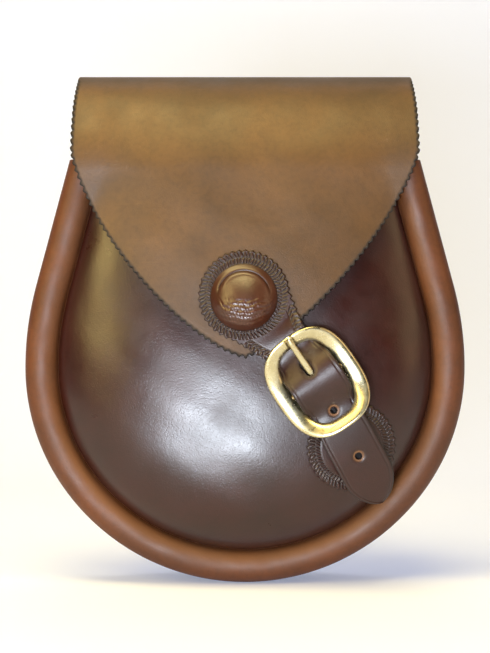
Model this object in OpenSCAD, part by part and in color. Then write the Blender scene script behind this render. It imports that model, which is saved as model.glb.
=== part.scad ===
// Leather pouch: a wet-moulded front in a fat rolled welt, a gusset, a flat back with belt
// loops, and a pinked flap that closes with a strap and a centre-bar buckle.
// +Z is up and the front faces -Y. The origin is the centre of the belt passage.

/* [Bag] */
// Overall width over the rolled welt
bag_w = 221; // [215:1:228]
// Height of the widest level above the bottom of the bag
belly_h = 108; // [106:0.5:110]
// Slope of the upper sides from the vertical, in degrees
side_taper = 15; // [14:0.5:16]
// Thickness of the bag's leather
leather = 3; // [2.8:0.1:3.2]
// How far the moulded front swells out of its rim
dome_rise = 28; // [26:1:30]
// Height of the front's fullest point
dome_h = 68; // [62:1:74]
// Height of the mouth's front edge
mouth_h = 207; // [204:1:210]
// Depth from the back panel to the centre of the rolled welt
gusset_d = 37; // [35:1:40]

/* [Rolled welt] */
// Diameter of the roll
roll_d = 16.5; // [15.5:0.5:17.5]
// Diameter of the cord inside the roll
core_d = 11; // [10:0.5:12]

/* [Flap] */
// Width of the flap's straight part
flap_w = 174; // [170:1:176]
// Width at the fold
fold_w = 172; // [168:1:174]
// Height of the fold's top
fold_h = 259; // [256:1:262]
// Height of the flap's tip
tip_h = 113; // [110:1:116]
// Height at which the straight sides end
shoulder_h = 216; // [212:1:220]
// Fullness of the flap's left edge, 1 for a straight edge and 2 for an ellipse
full_left = 1.4; // [1.3:0.02:1.44]
// Fullness of the flap's right edge, which is cut a little leaner
full_right = 1.3; // [1.2:0.02:1.34]

/* [Closure] */
// Width of the strap
strap_w = 25; // [24:0.5:26]
// Thickness of the strap
strap_t = 2.6; // [2.2:0.1:2.7]
// Radius of the upper and lower rosettes
rosette_r = 22; // [20:0.5:23]
// Radius of the leather-covered button
button_r = 13.5; // [12:0.5:14]
// Height of the button above its rosette
button_rise = 8; // [6:0.5:9]

/* [Buckle] */
// Length of the buckle's frame along the strap
frame_l = 51.5; // [50:0.5:53]
// Width of the frame
frame_w = 43.5; // [43:0.5:45]
// Length of the frame's window
window_l = 40; // [39:0.5:41]
// Width of the frame's window
window_w = 27; // [26.6:0.1:27.6]
// Thickness of the frame
frame_t = 4; // [3.6:0.1:4.4]
// Radius of the centre bar
bar_r = 1.6; // [1.4:0.05:1.7]

/* [Belt loops] */
// Distance between the centres of the two loops
loop_gap = 92; // [84:1:100]
// Width of each loop
loop_w = 32; // [28:1:36]
// Tallest belt that the loops take
belt_h = 46; // [40:1:48]
// Gap between the back panel and the loops
belt_gap = 6; // [5:0.5:7]

/* [Hidden] */
$fn = 64;

brown = [0.34, 0.22, 0.17];
tan = [0.55, 0.34, 0.2];
brass = [0.85, 0.7, 0.36];
steel = [0.7, 0.7, 0.7];

// Depths are counted forward from the origin, so a depth d lies at y = -d.
belt_line = 190;
back_d = belt_gap / 2;
rim_d = back_d + gusset_d;
roll_r = roll_d / 2;
half_w = bag_w / 2;
gap = 0.3;

// The bag's edge is a chain of arcs that run into each other: one under the bottom, one up
// each side to the widest level, one that turns the side inwards, and a straight length.
// Every radius is that of the roll's centre line.
belly_r = 105;
waist_r = 158;
side_r = belly_r - roll_r;
side_x = half_w - belly_r;
bottom_c = (side_x * side_x + belly_h * belly_h - belly_r * belly_r) / (2 * (belly_h - belly_r));
bottom_r = bottom_c - roll_r;
bottom_turn = 90 - atan2(bottom_c - belly_h, side_x);
upper_r = waist_r - roll_r;
upper_x = half_w - waist_r;
roll_top = shoulder_h - 4;

function upper_end(n) = [
    upper_x + (upper_r - n) * cos(side_taper),
    belly_h + (upper_r - n) * sin(side_taper)
];

// Half width of the line that lies n inside the roll's centre line, at height h
function edge_x(h, n) =
    h < bottom_c - (bottom_r - n) * cos(bottom_turn)
        ? sqrt(max(0, pow(bottom_r - n, 2) - pow(bottom_c - h, 2)))
    : h < belly_h
        ? side_x + sqrt(max(0, pow(side_r - n, 2) - pow(belly_h - h, 2)))
    : h < upper_end(n)[1]
        ? upper_x + sqrt(pow(upper_r - n, 2) - pow(h - belly_h, 2))
        : upper_end(n)[0] - (h - upper_end(n)[1]) * tan(side_taper);

// Points [x, height] from the middle of the bottom up the right side to height top
function edge_points(n, top) = concat(
    [for (i = [0:11]) let (a = bottom_turn * i / 12)
        [(bottom_r - n) * sin(a), bottom_c - (bottom_r - n) * cos(a)]],
    [for (i = [0:7]) let (a = bottom_turn + (90 - bottom_turn) * i / 8)
        [side_x + (side_r - n) * sin(a), belly_h - (side_r - n) * cos(a)]],
    [for (i = [0:3]) let (a = side_taper * i / 4)
        [upper_x + (upper_r - n) * cos(a), belly_h + (upper_r - n) * sin(a)]],
    [for (i = [0:3]) let (h = upper_end(n)[1] + (top - upper_end(n)[1]) * i / 3)
        [edge_x(h, n), h]]
);

function mirrored(points) = [for (i = [len(points) - 1:-1:1]) [-points[i][0], points[i][1]]];

// Swell of the moulded front: full at dome_h, steep at the rim, gentle towards the mouth
mouth_share = 0.34;
function swell_up(h, n) =
    let (low = bottom_c - bottom_r + n)
    h < dome_h
        ? pow(max(0, 1 - pow((dome_h - h) / (dome_h - low), 2.2)), 0.52)
        : 1 - (1 - mouth_share) * pow((h - dome_h) / (mouth_h - dome_h), 1.6);
function swell_across(x, h, n) = pow(max(0, 1 - pow(abs(x) / max(edge_x(h, n), 0.01), 2.3)), 0.55);
function swell(x, h, n) = dome_rise * swell_up(h, n) * swell_across(x, h, n);

// Depth of the front panel's outer face, and of the flap's face that lies over it
panel_n = roll_r + gap;
function panel_depth(x, h) = rim_d + leather / 2 + swell(x, h, panel_n);
roll_clear = roll_r - leather / 2 + gap;
function flap_swell(x, h) =
    dome_rise * swell_up(h, panel_n)
        * pow(max(0, 1 - pow(abs(x) / edge_x(h, panel_n), 2.8)), 0.5);
function flap_depth(x, h) =
    rim_d + leather / 2 + gap * 2 + pow(pow(flap_swell(x, h), 4) + pow(roll_clear, 4), 0.25);

// Everything below is drawn with height 0 at the bottom of the bag.
module on_bag() {
    translate([0, 0, -belt_line])
        children();
}

// Sweeps a profile round the bag's edge. Each of its points is [distance outwards from the
// roll's centre line, depth].
function edge_path(n, top) = let (side = edge_points(n, top)) concat(mirrored(side), side);
module edge_tube(profile, top) {
    lines = [for (p = profile) [for (q = edge_path(-p[0], top)) [q[0], -p[1], q[1]]]];
    n = len(lines[0]);
    count = len(profile);
    faces = concat(
        [for (j = [0:count - 1], i = [0:n - 2]) let (m = (j + 1) % count)
            [j * n + i, m * n + i, m * n + i + 1, j * n + i + 1]],
        [[for (j = [0:count - 1]) (count - 1 - j) * n], [for (j = [0:count - 1]) j * n + n - 1]]
    );
    polyhedron([for (line = lines, p = line) p], faces);
}
function ring(radius, count, depth) =
    [for (i = [0:count - 1]) [radius * cos(360 * i / count), depth + radius * sin(360 * i / count)]];

// A closed solid between two grids of points with the same rows and columns
function grid_faces(rows, cols) = concat(
    [for (i = [0:rows - 2], j = [0:cols - 2])
        [i * cols + j, (i + 1) * cols + j, (i + 1) * cols + j + 1, i * cols + j + 1]],
    [for (i = [0:rows - 2], j = [0:cols - 2]) let (k = rows * cols)
        [k + i * cols + j, k + i * cols + j + 1, k + (i + 1) * cols + j + 1, k + (i + 1) * cols + j]],
    [for (i = [0:rows - 2]) let (k = rows * cols)
        [i * cols, k + i * cols, k + (i + 1) * cols, (i + 1) * cols]],
    [for (i = [0:rows - 2]) let (k = rows * cols, j = cols - 1)
        [(i + 1) * cols + j, k + (i + 1) * cols + j, k + i * cols + j, i * cols + j]],
    [for (j = [0:cols - 2]) let (k = rows * cols)
        [j + 1, k + j + 1, k + j, j]],
    [for (j = [0:cols - 2]) let (k = rows * cols, i = rows - 1)
        [i * cols + j, k + i * cols + j, k + i * cols + j + 1, i * cols + j + 1]]
);

module sheet(front, back) {
    rows = len(front);
    cols = len(front[0]);
    points = [for (grid = [front, back], row = grid, p = row) p];
    polyhedron(points, [for (f = grid_faces(rows, cols)) [f[0], f[1], f[2], f[3]]]);
}

// ---- back ----

rivet_r = 2;
bore_r = rivet_r + 0.05;
rivet_x = 8;
burr_t = 1;
burr_r = 4.5;
head_t = 1.2;
peen = 0.4;
// Length of a cutter that runs right through whatever it is taken from
through = 60;
foot_l = 17;
ramp_l = 8;
foot_h = belt_h / 2 + ramp_l + foot_l / 2;
rivet_places = [
    for (side = [-1, 1], dx = [-rivet_x, rivet_x], dz = [-foot_h, foot_h])
        [side * loop_gap / 2 + dx, belt_line + dz]
];
// The back ends just under the line that the flap turns about.
bend_r = 7;
hinge_d = back_d + leather / 2;
hinge_h = fold_h - leather / 2 - bend_r;
panel_top = hinge_h - leather / 2 - gap;
back_inset = 1.5;

module back_outline() {
    neck = [[fold_w / 2, shoulder_h + 4], [fold_w / 2, panel_top]];
    side = concat(edge_points(back_inset - roll_r, shoulder_h), neck);
    polygon(concat(side, mirrored(side)));
}

// The rear of its top edge is skived, so that the flap can fold right over to the back.
skive_w = leather * 0.82;
skive_h = 6.4;
module skive() {
    translate([-bag_w / 2, -back_d - skive_w, panel_top])
        rotate([atan2(skive_w, skive_h), 0, 0])
            translate([0, 0, -2 * skive_h])
                cube([bag_w, 2 * skive_h, 4 * skive_h]);
}

module back_panel() {
    color(brown)
        on_bag()
            difference() {
                translate([0, -back_d, 0])
                    rotate([90, 0, 0])
                        linear_extrude(leather)
                            back_outline();
                skive();
                for (p = rivet_places)
                    translate([p[0], 0, p[1]])
                        rotate([90, 0, 0])
                            cylinder(h = through, r = bore_r);
            }
}

// The loop's side view: a foot at each end, and a length that stands off to pass the belt
module loop_profile() {
    out = back_d + leather;
    half = belt_h / 2;
    bend = 1.5;
    polygon([
        [-back_d, -half - ramp_l - foot_l], [leather - back_d, -half - ramp_l - foot_l],
        [leather - back_d, -half - ramp_l - bend], [out, -half - bend],
        [out, half + bend], [leather - back_d, half + ramp_l + bend],
        [leather - back_d, half + ramp_l + foot_l], [-back_d, half + ramp_l + foot_l],
        [-back_d, half + ramp_l], [back_d, half], [back_d, -half], [-back_d, -half - ramp_l]
    ]);
}

module belt_loop(side) {
    color(brown)
        on_bag()
            difference() {
                translate([side * loop_gap / 2 - loop_w / 2, 0, belt_line])
                    rotate([90, 0, 90])
                        linear_extrude(loop_w)
                            loop_profile();
                for (p = rivet_places)
                    translate([p[0], 10, p[1]])
                        rotate([90, 0, 0])
                            cylinder(h = through, r = bore_r);
            }
}

module belt_loop_left() {
    belt_loop(-1);
}

module belt_loop_right() {
    belt_loop(1);
}

module belt_loop_rivets() {
    inside = back_d + leather + burr_t;
    color(brass)
        on_bag()
            for (p = rivet_places)
                translate([p[0], leather - back_d, p[1]])
                    rotate([90, 0, 0]) {
                        translate([0, 0, -head_t])
                            cylinder(h = head_t, r1 = burr_r - 0.9, r2 = burr_r + 0.1);
                        cylinder(h = inside + leather - back_d + peen, r = rivet_r);
                    }
}

module burr() {
    difference() {
        cylinder(h = burr_t, r = burr_r);
        translate([0, 0, -1])
            cylinder(h = burr_t + 2, r = bore_r);
    }
}

module belt_loop_burrs() {
    color(brass)
        on_bag()
            for (p = rivet_places)
                translate([p[0], -back_d - leather, p[1]])
                    rotate([90, 0, 0])
                        burr();
}

// ---- body ----

// The gusset stands inside the roll. Its rear lip turns out against the back panel, and its
// front lip turns in behind the welt's flange.
lip = 8;
flange_t = leather;
gusset_out = -roll_r - gap;
gusset_rear = back_d + leather;
gusset_front = rim_d - flange_t / 2;
gusset_ring = [
    [gusset_out - leather, gusset_rear], [gusset_out + lip, gusset_rear],
    [gusset_out + lip, gusset_rear + leather], [gusset_out, gusset_rear + leather],
    [gusset_out, gusset_front], [gusset_out - lip, gusset_front],
    [gusset_out - lip, gusset_front - leather], [gusset_out - leather, gusset_front - leather]
];

// Its top slopes up from the front rim to the back under the flap.
gusset_top = 236;
module gusset() {
    slope = atan2(gusset_top - mouth_h, gusset_front - gusset_rear);
    color(brown)
        on_bag()
            difference() {
                edge_tube(gusset_ring, gusset_top + 8);
                translate([-bag_w, -gusset_rear, gusset_top])
                    rotate([slope, 0, 0])
                        translate([0, -2 * bag_w, 0])
                            cube([2 * bag_w, 4 * bag_w, bag_w]);
            }
}

// The welt's cover wraps the cord, and its two edges run on inwards as the flange
cover_t = (roll_d - core_d) / 2;
flange_a = asin(flange_t / 2 / roll_r);
welt_ring = concat(
    [for (i = [0:20]) let (a = flange_a - 180 + (360 - 2 * flange_a) * i / 20)
        [roll_r * cos(a), rim_d + roll_r * sin(a)]],
    [[gusset_out - lip, rim_d + flange_t / 2], [gusset_out - lip, rim_d - flange_t / 2]]
);

module welt_cover() {
    color(tan)
        on_bag()
            difference() {
                edge_tube(welt_ring, roll_top);
                edge_tube(ring(core_d / 2, 16, rim_d), roll_top - cover_t);
            }
}

module welt_core() {
    color(steel)
        on_bag()
            edge_tube(ring(core_d / 2 - 0.05, 16, rim_d), roll_top - cover_t - 0.1);
}

// A narrow strip that covers the raw edges of the seam inside the bag
binding_t = 1.2;
module seam_binding() {
    inner = gusset_out - lip - 0.2 - binding_t;
    rear = rim_d - flange_t / 2 - leather;
    front = rim_d + flange_t / 2;
    color(tan)
        on_bag()
            edge_tube(
                [[inner, rear], [inner + binding_t, rear], [inner + binding_t, front], [inner, front]],
                roll_top - 4
            );
}

// The moulded front is drawn on rays from its fullest point to its rim and its mouth edge.
// Its rim stands on the welt's flange, so the inner face meets the same level there.
ray_steps = 14;
mouth_steps = 12;
function rim_points(n) =
    let (side = edge_points(n, mouth_h), corner = edge_x(mouth_h, n))
    concat(
        side,
        [for (i = [1:mouth_steps - 1]) [corner * (1 - 2 * i / mouth_steps), mouth_h]],
        mirrored(side)
    );
function inner_rise(rise) = rise - leather * min(1, rise / (2 * leather));
function dome_face(n, inner) = [
    for (k = [1:ray_steps])
        let (s = sin(90 * k / ray_steps))
        [for (p = rim_points(n))
            let (x = p[0] * s, h = dome_h + (p[1] - dome_h) * s, rise = swell(x, h, n))
            [x, -rim_d - leather / 2 - (inner ? inner_rise(rise) : rise), h]]
];

// A closed solid between two sets of rings, each with a middle point
module fan(outer, inner, outer_mid, inner_mid) {
    count = len(outer[0]);
    steps = len(outer);
    shift = steps * count;
    last = (steps - 1) * count;
    points = concat([for (row = outer, p = row) p], [for (row = inner, p = row) p], [outer_mid, inner_mid]);
    faces = concat(
        [for (k = [0:steps - 2], j = [0:count - 1]) let (a = k * count, m = (j + 1) % count)
            [a + j, a + m, a + count + m, a + count + j]],
        [for (k = [0:steps - 2], j = [0:count - 1]) let (a = shift + k * count, m = (j + 1) % count)
            [a + j, a + count + j, a + count + m, a + m]],
        [for (j = [0:count - 1]) let (m = (j + 1) % count)
            [last + j, last + m, shift + last + m, shift + last + j]],
        [for (j = [0:count - 1]) [2 * shift, (j + 1) % count, j]],
        [for (j = [0:count - 1]) [2 * shift + 1, shift + j, shift + (j + 1) % count]]
    );
    polyhedron(points, faces);
}

module front_panel() {
    front = rim_d + leather / 2;
    color(brown)
        on_bag()
            difference() {
                fan(
                    dome_face(panel_n, false), dome_face(panel_n + leather, true),
                    [0, -front - dome_rise, dome_h], [0, leather - front - dome_rise, dome_h]
                );
                chape_hole();
            }
}

// ---- flap ----

// The flap's middle line in side view runs from the fold over the mouth to the front: it is
// a curve from the front's face at cover_h up to the fold, then the fold's own bend.
cover_h = 206;
cover_l = 22;
crest_d = 25;
crest_drop = 3;
top_d = hinge_d + bend_r;
function bez(a, b, c, d, t) =
    a * pow(1 - t, 3) + 3 * b * t * pow(1 - t, 2) + 3 * c * t * t * (1 - t) + d * pow(t, 3);
// Mid-surface point [depth, height] for a share t from the front (0) to the fold (1)
function cover_mid(x, t) =
    let (
        start = flap_depth(x, cover_h) + leather / 2,
        lean = flap_depth(x, cover_h) - flap_depth(x, cover_h - 1),
        top = fold_h - leather / 2
    )
    [
        bez(start, start + lean * cover_l, hinge_d + crest_d, top_d, t),
        bez(cover_h, cover_h + cover_l, top - crest_drop, top, t)
    ];
function cover_slope(x, t) =
    let (a = cover_mid(x, max(0, t - 0.01)), b = cover_mid(x, min(1, t + 0.01)))
    (b - a) / norm(b - a);
// Edge of the flap at height h on the front, at a side of -1 or 1
function flap_x(h, side) =
    let (
        k = max(0, (shoulder_h - h) / (shoulder_h - tip_h)),
        full = side < 0 ? full_left : full_right
    )
    flap_w / 2 * pow(max(0, 1 - pow(k, full)), 1 / full);

fold_steps = 5;
cover_steps = 12;
front_steps = 18;
across_steps = 22;
function flap_row(kind, i, side) =
    [for (j = [0:across_steps])
        let (u = 1 - 2 * j / across_steps)
        kind == 0
            // the fold's bend, from the hinge line up and forwards
            ? let (a = 90 * i / fold_steps, x = u * fold_w / 2, r = bend_r + side * leather / 2)
                [x, -(top_d - r * cos(a)), hinge_h + r * sin(a)]
        : kind == 1
            ? let (
                t = 1 - i / cover_steps,
                x = u * (fold_w / 2 + (flap_w - fold_w) / 2 * min(1, (1 - t) * 2)),
                m = cover_mid(x, t),
                s = cover_slope(x, t)
            )
                [x, -(m[0] + side * leather / 2 * s[1]), m[1] - side * leather / 2 * s[0]]
            : let (
                h = cover_h + (tip_h + 0.4 - cover_h) * sin(90 * i / front_steps),
                x = u * flap_x(h, u),
                d = flap_depth(x, h) + (side > 0 ? leather : 0)
            )
                [x, -d, h]
    ];
function flap_face(side) = concat(
    [for (i = [0:fold_steps]) flap_row(0, i, side)],
    [for (i = [1:cover_steps - 1]) flap_row(1, i, side)],
    [for (i = [0:front_steps]) flap_row(2, i, side)]
);

module flap() {
    color(brown)
        on_bag()
            difference() {
                sheet(flap_face(1), flap_face(-1));
                rosette_hole();
                burr_pocket();
            }
}

// ---- closure ----

// Centres [x, height] of the upper rosette, the buckle's bar and the lower rosette
upper_at = [-0.5, 143.5];
bar_at = [34.5, 102];
lower_at = [52, 70];
strap_turn = atan2(upper_at[1] - bar_at[1], bar_at[0] - upper_at[0]);
tail_turn = atan2(bar_at[1] - lower_at[1], lower_at[0] - bar_at[0]);
buckle_turn = (strap_turn + tail_turn) / 2;
tail_l = 68;
// Depth of the plane that the strap and the buckle lie on
strap_d = panel_depth(bar_at[0], bar_at[1]) + 1;
bar_lift = 6.4;
chape_t = 1.8;
chape_w = 21;
slot_w = 5.2;

// Local frames: x runs along the strap towards its tail, z points out of the bag
module on_front(at, depth, turn) {
    translate([at[0], -depth, at[1]])
        rotate([90, turn, 0])
            children();
}

// A leather disc that follows the flap or the front under it, from base to base + t proud
disc_rings = 6;
disc_sides = 28;
function disc_face(at, radius, proud, on_flap) = [
    for (k = [1:disc_rings])
        [for (j = [0:disc_sides - 1])
            let (
                r = radius * k / disc_rings,
                x = at[0] + r * cos(360 * j / disc_sides),
                h = at[1] + r * sin(360 * j / disc_sides)
            )
            [x, -proud - (on_flap ? flap_depth(x, h) + leather : panel_depth(x, h)), h]]
];
function disc_mid(at, proud, on_flap) =
    [at[0], -proud - (on_flap ? flap_depth(at[0], at[1]) + leather : panel_depth(at[0], at[1])), at[1]];
module draped_disc(at, radius, base, t, on_flap) {
    fan(
        disc_face(at, radius, base + t, on_flap), disc_face(at, radius, base, on_flap),
        disc_mid(at, base + t, on_flap), disc_mid(at, base, on_flap)
    );
}

rosette_tilt = 8;
pocket_l = 12;
rosette_top = flap_depth(upper_at[0], upper_at[1]) + leather + gap + strap_t;
module on_upper_rosette() {
    translate([upper_at[0], -rosette_top, upper_at[1]])
        rotate([90 - rosette_tilt, 0, 0])
            children();
}

module rosette_hole() {
    on_upper_rosette()
        translate([0, 0, -pocket_l])
            cylinder(h = through / 3, r = bore_r);
}

// The burr is set into the flap's inner face.
burr_seat = leather + strap_t + gap - burr_t - 0.2;
module burr_pocket() {
    on_upper_rosette()
        translate([0, 0, -pocket_l])
            cylinder(h = pocket_l - burr_seat, r = burr_r + 0.05);
}

module billet_rosette() {
    color(brown)
        on_bag()
            difference() {
                draped_disc(upper_at, rosette_r + 0.5, gap, strap_t, true);
                rosette_hole();
            }
}

// The button is a domed blank with leather moulded over it, flat underneath
skin = 1.6;
pin_l = 2.4;
function cap_r(rise, radius) = (rise * rise + radius * radius) / (2 * rise);
module cap(rise, radius) {
    big = cap_r(rise, radius);
    intersection() {
        translate([0, 0, rise - big])
            sphere(r = big);
        cylinder(h = rise + 1, r = radius);
    }
}

module button_cover() {
    color(brown)
        on_bag()
            on_upper_rosette()
                translate([0, 0, gap / 2])
                    difference() {
                        cap(button_rise, button_r);
                        translate([0, 0, -0.01])
                            cap(button_rise - skin, button_r - skin);
                    }
}

module button_core() {
    color(steel)
        on_bag()
            on_upper_rosette()
                translate([0, 0, gap / 2])
                    difference() {
                        cap(button_rise - skin - 0.1, button_r - skin - 0.2);
                        translate([0, 0, -1])
                            cylinder(h = pin_l + 1.1, r = bore_r);
                    }
}

rivet_in = burr_seat + burr_t + gap;
module button_rivet() {
    color(brass)
        on_bag()
            on_upper_rosette()
                translate([0, 0, -rivet_in])
                    cylinder(h = rivet_in + pin_l, r = rivet_r);
}

module button_burr() {
    color(brass)
        on_bag()
            on_upper_rosette()
                translate([0, 0, -burr_seat - burr_t])
                    burr();
}

// Lift of the strap's underside over the strap plane, s past the bar and u across from -1
// to 1: off the flap, over the bar and the chape round it, under the frame's far end, and
// down with the front towards its tip. Its edges dip where they go under the frame.
over_bar = bar_lift + bar_r + chape_t + 2 * gap;
flap_lift = 2.9;
tail_lift = 5.3;
tail_droop = 13;
tail_twist = 1.5;
start_s = 18;
end_s = 17;
dip = 1.2;
dip_s = 15;
dip_l = 8;
function strap_dip(s, u) =
    dip * max(0, 2 * abs(u) - 1) * pow(cos(90 * min(1, abs(abs(s) - dip_s) / dip_l)), 2);
function strap_level(s, u) =
    s < 0
        ? flap_lift + (over_bar - flap_lift) * pow(cos(90 * min(1, -s / start_s)), 2)
        : s < end_s
            ? tail_lift + (over_bar - tail_lift) * pow(cos(90 * s / end_s), 2)
            : let (k = (s - end_s) / (tail_l - end_s))
                tail_lift - tail_droop * pow(k, 1.8) - tail_twist * u * min(1, 2 * k);
function strap_lift(s, u) = strap_level(s, u) - strap_dip(s, u);
strap_start = -31;
point_l = 16;
squeeze = 1.3;
function strap_half(s) =
    s < tail_l - point_l
        ? strap_w / 2 - squeeze * pow(cos(90 * min(1, max(0, abs(s) - 18) / 14)), 2)
        : strap_w / 2 * sqrt(max(0.02, 1 - pow((s - tail_l + point_l) / point_l, 2)));
function strap_spot(s) =
    let (turn = s < 0 ? strap_turn : tail_turn)
    [bar_at[0] + s * cos(turn), bar_at[1] - s * sin(turn)];
function strap_across(s) =
    let (k = min(1, max(0, (s + 12) / 24)), turn = strap_turn + (tail_turn - strap_turn) * k)
    [sin(turn), cos(turn)];
strap_rows = concat(
    [for (i = [0:21]) strap_start + (end_s - strap_start) * i / 21],
    [for (i = [1:14]) end_s + (tail_l - end_s) * sin(90 * i / 14)]
);
function strap_face(side) = [
    for (s = strap_rows)
        [for (u = [1, 0.5, 0, -0.5, -1])
            let (p = strap_spot(s), c = strap_across(s), w = u * strap_half(s))
            [p[0] + c[0] * w, -strap_d - strap_lift(s, u) - side * strap_t, p[1] + c[1] * w]]
];
hole_pitch = 25.4;
tongue_hole = -9.5;
slot_s = -8.5;
slot_l = 8;
slot_r = 2.4;
hole_r = 1.75;

module slot_cut(length, radius) {
    for (dx = [-length / 2, length / 2])
        translate([dx, 0, 0])
            cylinder(h = through / 2, r = radius);
    translate([-length / 2, -radius, 0])
        cube([length, 2 * radius, through / 2]);
}

module billet_strap() {
    color(brown)
        on_bag()
            difference() {
                sheet(strap_face(1), strap_face(0));
                // the hole in use is stretched long by the tongue
                on_front(bar_at, strap_d, buckle_turn)
                    translate([slot_s, 0, 0])
                        slot_cut(slot_l, slot_r);
                // the spare holes' seams are turned off the strap's middle line
                on_front(bar_at, strap_d - 10, tail_turn)
                    for (k = [1, 2])
                        translate([tongue_hole + k * hole_pitch, 0, 0])
                            rotate([0, 0, 37])
                                cylinder(h = through / 2, r = hole_r);
            }
}

// The chape is one strip. It runs up the front from under the lower rosette, round the bar, and
// back over itself to the rosette's edge, with a slot for the tongue.
lower_l = norm(lower_at - bar_at);
eye_r = bar_r + gap;
chape_out = eye_r + chape_t;
loop_l = 7;
chape_l = 12;
chape_tail = 8.5;
function chape_point(s, u, lift, drape) =
    let (
        turn = buckle_turn + (tail_turn - buckle_turn) * min(1, max(0, s / loop_l)),
        x = bar_at[0] + s * cos(tail_turn) + sin(turn) * u * chape_w / 2,
        h = bar_at[1] - s * sin(tail_turn) + cos(turn) * u * chape_w / 2
    )
    [x, -drape * panel_depth(x, h) - (1 - drape) * strap_d - lift, h];
chape_u = [1, 0.5, 0, -0.5, -1];
function chape_face(outer) =
    let (
        r = outer ? chape_out : eye_r,
        under = outer ? gap / 3 : chape_t,
        over = outer ? 2 * chape_t : chape_t + gap / 3,
        start = lower_l + chape_tail
    )
    concat(
        [for (i = [0:10]) let (s = start + (loop_l - start) * i / 10)
            [for (u = chape_u) chape_point(s, u, under, 1)]],
        [for (i = [1:2]) let (k = 1 - i / 3)
            [for (u = chape_u) chape_point(loop_l * k, u, bar_lift - r + (under - bar_lift + r) * k, k)]],
        [for (a = [-90:22.5:90])
            [for (u = chape_u) chape_point(-r * cos(a), u, bar_lift + r * sin(a), 0)]],
        [for (i = [1:4]) let (k = 1 - i / 4)
            [for (u = chape_u) chape_point(chape_l * i / 4, u, over + (bar_lift + r - over) * k, 1 - k)]],
        [[for (u = chape_u) chape_point(lower_l - rosette_r - 2 * gap, u, over, 1)]]
    );

module chape() {
    color(brown)
        on_bag()
            difference() {
                sheet(chape_face(true), chape_face(false));
                on_front(bar_at, strap_d, buckle_turn)
                    translate([-12, -slot_w / 2, -2])
                        cube([20, slot_w, 22]);
                chape_hole();
            }
}

module lower_rosette() {
    color(brown)
        on_bag()
            difference() {
                draped_disc(lower_at, rosette_r, chape_t + gap, chape_t, false);
                chape_hole();
            }
}

module chape_hole() {
    translate([lower_at[0], -strap_d - 20, lower_at[1]])
        rotate([-90, 0, 0])
            cylinder(h = through, r = bore_r);
}

lower_d = panel_depth(lower_at[0], lower_at[1]);
burr_in = 2.4;
burr_d = lower_d - leather - burr_in;
module chape_rivet() {
    head = lower_d + 2 * chape_t + gap;
    color(brass)
        on_bag()
            translate([lower_at[0], -head, lower_at[1]])
                rotate([-90, 0, 0])
                    cylinder(h = head - burr_d + burr_t + peen, r = rivet_r);
}

module chape_burr() {
    color(brass)
        on_bag()
            translate([lower_at[0], -burr_d, lower_at[1]])
                rotate([-90, 0, 0])
                    burr();
}

// ---- buckle ----

frame_bow = 7.2;
frame_corner = 16;
window_corner = 9;
notch_r = 2.2;
notch_l = 12;
bow_r = (pow(frame_l / 2, 2) + frame_bow * frame_bow) / (2 * frame_bow);
mid_lift = bar_lift - 1.8;

module rounded(l, w, r) {
    for (sx = [-1, 1], sy = [-1, 1])
        translate([sx * (l / 2 - r), sy * (w / 2 - r)])
            circle(r = r);
    square([l - 2 * r, w], center = true);
    square([l, w - 2 * r], center = true);
}

// The frame is a ring with rounded corners, bowed so that its ends stand over the strap
module buckle_frame() {
    color(brass)
        on_bag()
            on_front(bar_at, strap_d, buckle_turn)
                difference() {
                    intersection() {
                        linear_extrude(30)
                            difference() {
                                rounded(frame_l, frame_w, frame_corner);
                                rounded(window_l, window_w, window_corner);
                            }
                        translate([0, frame_w, mid_lift + bow_r])
                            rotate([90, 0, 0])
                                difference() {
                                    cylinder(h = 2 * frame_w, r = bow_r, $fn = 96);
                                    translate([0, 0, -1])
                                        cylinder(h = 2 * frame_w + 2, r = bow_r - frame_t, $fn = 96);
                                }
                    }
                    bar_cutter(bar_r);
                    // the notch that the tongue's tip rests in
                    translate([-frame_l / 2 - 4, 0, mid_lift + frame_bow + frame_t + 0.1])
                        rotate([0, 90, 0])
                            cylinder(h = notch_l, r = notch_r);
                }
}

bar_l = (window_w + frame_w) / 2 + 4;
module bar_cutter(radius) {
    translate([0, bar_l / 2, bar_lift])
        rotate([90, 0, 0])
            cylinder(h = bar_l, r = radius);
}

module centre_bar() {
    color(brass)
        on_bag()
            on_front(bar_at, strap_d, buckle_turn)
                bar_cutter(bar_r);
}

tongue_w = 3.6;
tongue_rise = 22;
tongue_l = 27;
eye_t = 1.7;
shank_lift = 0.7;
module tongue() {
    color(brass)
        on_bag()
            on_front(bar_at, strap_d, buckle_turn)
                translate([0, 0, bar_lift])
                    rotate([0, tongue_rise, 0])
                        difference() {
                            union() {
                                rotate([90, 0, 0])
                                    translate([0, 0, -tongue_w / 2])
                                        cylinder(h = tongue_w, r = bar_r + eye_t);
                                translate([0, 0, shank_lift])
                                    rotate([0, -90, 0])
                                        cylinder(h = tongue_l - tongue_w / 2, r = tongue_w / 2);
                                translate([tongue_w / 2 - tongue_l, 0, shank_lift])
                                    sphere(r = tongue_w / 2);
                            }
                            rotate([90, 0, 0])
                                translate([0, 0, -tongue_w])
                                    cylinder(h = 2 * tongue_w, r = bar_r + 0.06);
                        }
}

back_panel();
gusset();
front_panel();
welt_cover();
welt_core();
seam_binding();
belt_loop_left();
belt_loop_right();
belt_loop_rivets();
belt_loop_burrs();
flap();
billet_rosette();
button_cover();
button_core();
button_rivet();
button_burr();
billet_strap();
chape();
lower_rosette();
chape_rivet();
chape_burr();
buckle_frame();
centre_bar();
tongue();
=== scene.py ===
import math

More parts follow.
